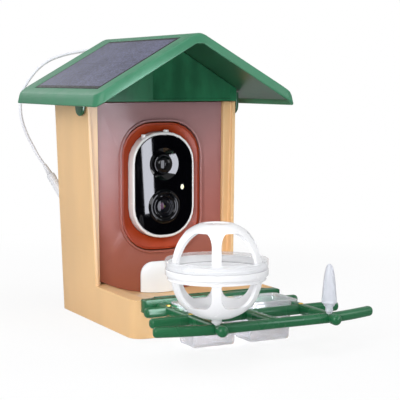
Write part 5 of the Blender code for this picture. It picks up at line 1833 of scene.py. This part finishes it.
@dataclass
class Studio:
    """The pale floor, the soft lights, the world and the camera."""

    floor_half: float = 6
    floor_level: float = -0.0002
    shadow_near: float = 0.20
    shadow_far: float = 0.60
    cover: float = 0.86
    ambient: float = 0.40
    seen_in_gloss: float = 0.25
    floor_in_gloss: float = 0.4
    card: tuple[float, float, float, float] = (0.06, 0.34, -0.02, 0.17)
    card_y: float = -0.44
    card_colour: Colour = (0.002, 0.002, 0.003)
    paper: Colour = (0.86, 0.86, 0.87)
    strip_colour: Colour = (0.88, 0.90, 1)
    lamps: tuple[Lamp, ...] = (
        Lamp("left_softbox", (-1.20, -1.05, 0.75), (0.75, 0.9), 18),
        Lamp("right_softbox", (1.3, -0.9, 0.7), (0.6, 0.8), 6),
        Lamp("top_softbox", (0.1, -0.3, 1.7), (1.2, 1.2), 10),
        Lamp("rear_softbox", (-0.5, 1.5, 0.9), (0.9, 0.9), 6),
        Lamp("face_strip", (0.145, -0.409, 0.1225), (0.026, 0.155), 0.19, 6, False, strip_colour),
        Lamp("dish_strip", (-0.0225, -0.14, 0.122), (0.085, 0.21), 0.80, 0, False, strip_colour))
    camera_at: Point = (-0.4668, -0.9850, 0.2110)
    camera_pitch: float = 84.4
    camera_turn: float = -27
    lens: float = 111.47

    def build(self) -> None:
        """Build everything around the object."""
        self._floor()
        self._card()
        self._world()
        for lamp in self.lamps:
            lamp.build()
        self._camera()
        bpy.context.scene.view_settings.view_transform = "Standard"

    def _seen(self, sheet: Sheet) -> Signal:
        """A mask for what the camera sees, directly, in gloss or through glass.

        Args:
            sheet: The node tree that it is built on.

        Returns:
            The mask.
        """
        camera, gloss, glass = (sheet.node("ShaderNodeLightPath", output=f"Is {ray} Ray")
                                for ray in ("Camera", "Glossy", "Transmission"))
        return (camera + gloss * self.seen_in_gloss + glass).least(1)

    def _floor(self) -> None:
        """The floor: white to the eye, with the object's soft shadow on it."""
        half, level = self.floor_half, self.floor_level
        points = [(-half, -half, level), (half, -half, level), (half, half, level), (-half, half, level)]
        floor = new_piece("studio_floor", points, [(0, 1, 2, 3)])
        sheet = PaintSheet("studio_floor_paper")
        sheet.paint({"Base Color": self.paper, "Roughness": 0.9, "Specular IOR Level": 0.1,
                     "Normal": sheet.bump(sheet.noise(300, 3), 0.0001, 0.1)})
        white, dim = (sheet.node("ShaderNodeEmission", {}, {"Color": (1, 1, 1), "Strength": strength})
                      for strength in (1, self.floor_in_gloss))
        gloss = sheet.node("ShaderNodeLightPath", output="Is Glossy Ray")
        lit = Signal(sheet, sheet.surface.outputs[0])
        x, y = sheet.axis("X"), sheet.axis("Y")
        away = sheet.ramped(x * x + y * y, self.shadow_near ** 2, self.shadow_far ** 2, self.cover, 1)
        both = sheet.node("ShaderNodeMixShader", {}, {0: self._seen(sheet) * away, 1: lit, 2: white})
        output = next(node for node in sheet.tree.nodes if node.type == "OUTPUT_MATERIAL")
        shown = sheet.node("ShaderNodeMixShader", {}, {0: gloss, 1: both, 2: dim})
        sheet.feed(output.inputs["Surface"], shown)
        floor.data.materials.append(sheet.owner)

    def _card(self) -> None:
        """A dark card that only gloss sees, on the side that the camera's face looks at."""
        left, right, low, high = self.card
        corners = [(x, self.card_y, z) for x, z in ((left, low), (right, low), (right, high), (left, high))]
        card = new_piece("dark_card", corners, [(0, 1, 2, 3)])
        card.data.materials.append(PaintSheet("dark_card_paint").paint(
            {"Base Color": self.card_colour, "Roughness": 0.9, "Specular IOR Level": 0.0}))
        for ray in ("camera", "diffuse", "shadow", "transmission", "volume_scatter"):
            setattr(card, f"visible_{ray}", False)

    def _world(self) -> None:
        """An even sky that is white to the eye."""
        world = bpy.data.worlds.new("studio_air")
        bpy.context.scene.world = world
        sheet = Sheet(world)
        back = sheet.tree.nodes["Background"]
        sheet.feed(back.inputs["Color"], (1, 1, 1))
        sheet.feed(back.inputs["Strength"], self.ambient + (1 - self.ambient) * self._seen(sheet))

    def _camera(self) -> None:
        """The camera at the photograph's angle."""
        data = bpy.data.cameras.new("studio_camera")
        data.lens = self.lens
        camera = bpy.data.objects.new("studio_camera", data)
        camera.location = self.camera_at
        camera.rotation_euler = (math.radians(self.camera_pitch), 0, math.radians(self.camera_turn))
        bpy.context.scene.collection.objects.link(camera)
        bpy.context.scene.camera = camera


def main() -> None:
    """Build the studio and every sub-assembly, in order, and report each piece."""
    logging.basicConfig(level=logging.INFO, format="%(name)s: %(message)s")
    Studio().build()
    assemblies = (CableRun(), Housing(), FrontWindow(), CameraUnit(), Roof(), WallFixings(), Perch(),
                  Cups(), FruitBall(), FruitSpike())
    for assembly in assemblies:
        pieces = assembly.build()
        LOG.info("%s: %d pieces", type(assembly).__name__, len(pieces))


if __name__ == "__main__":
    main()
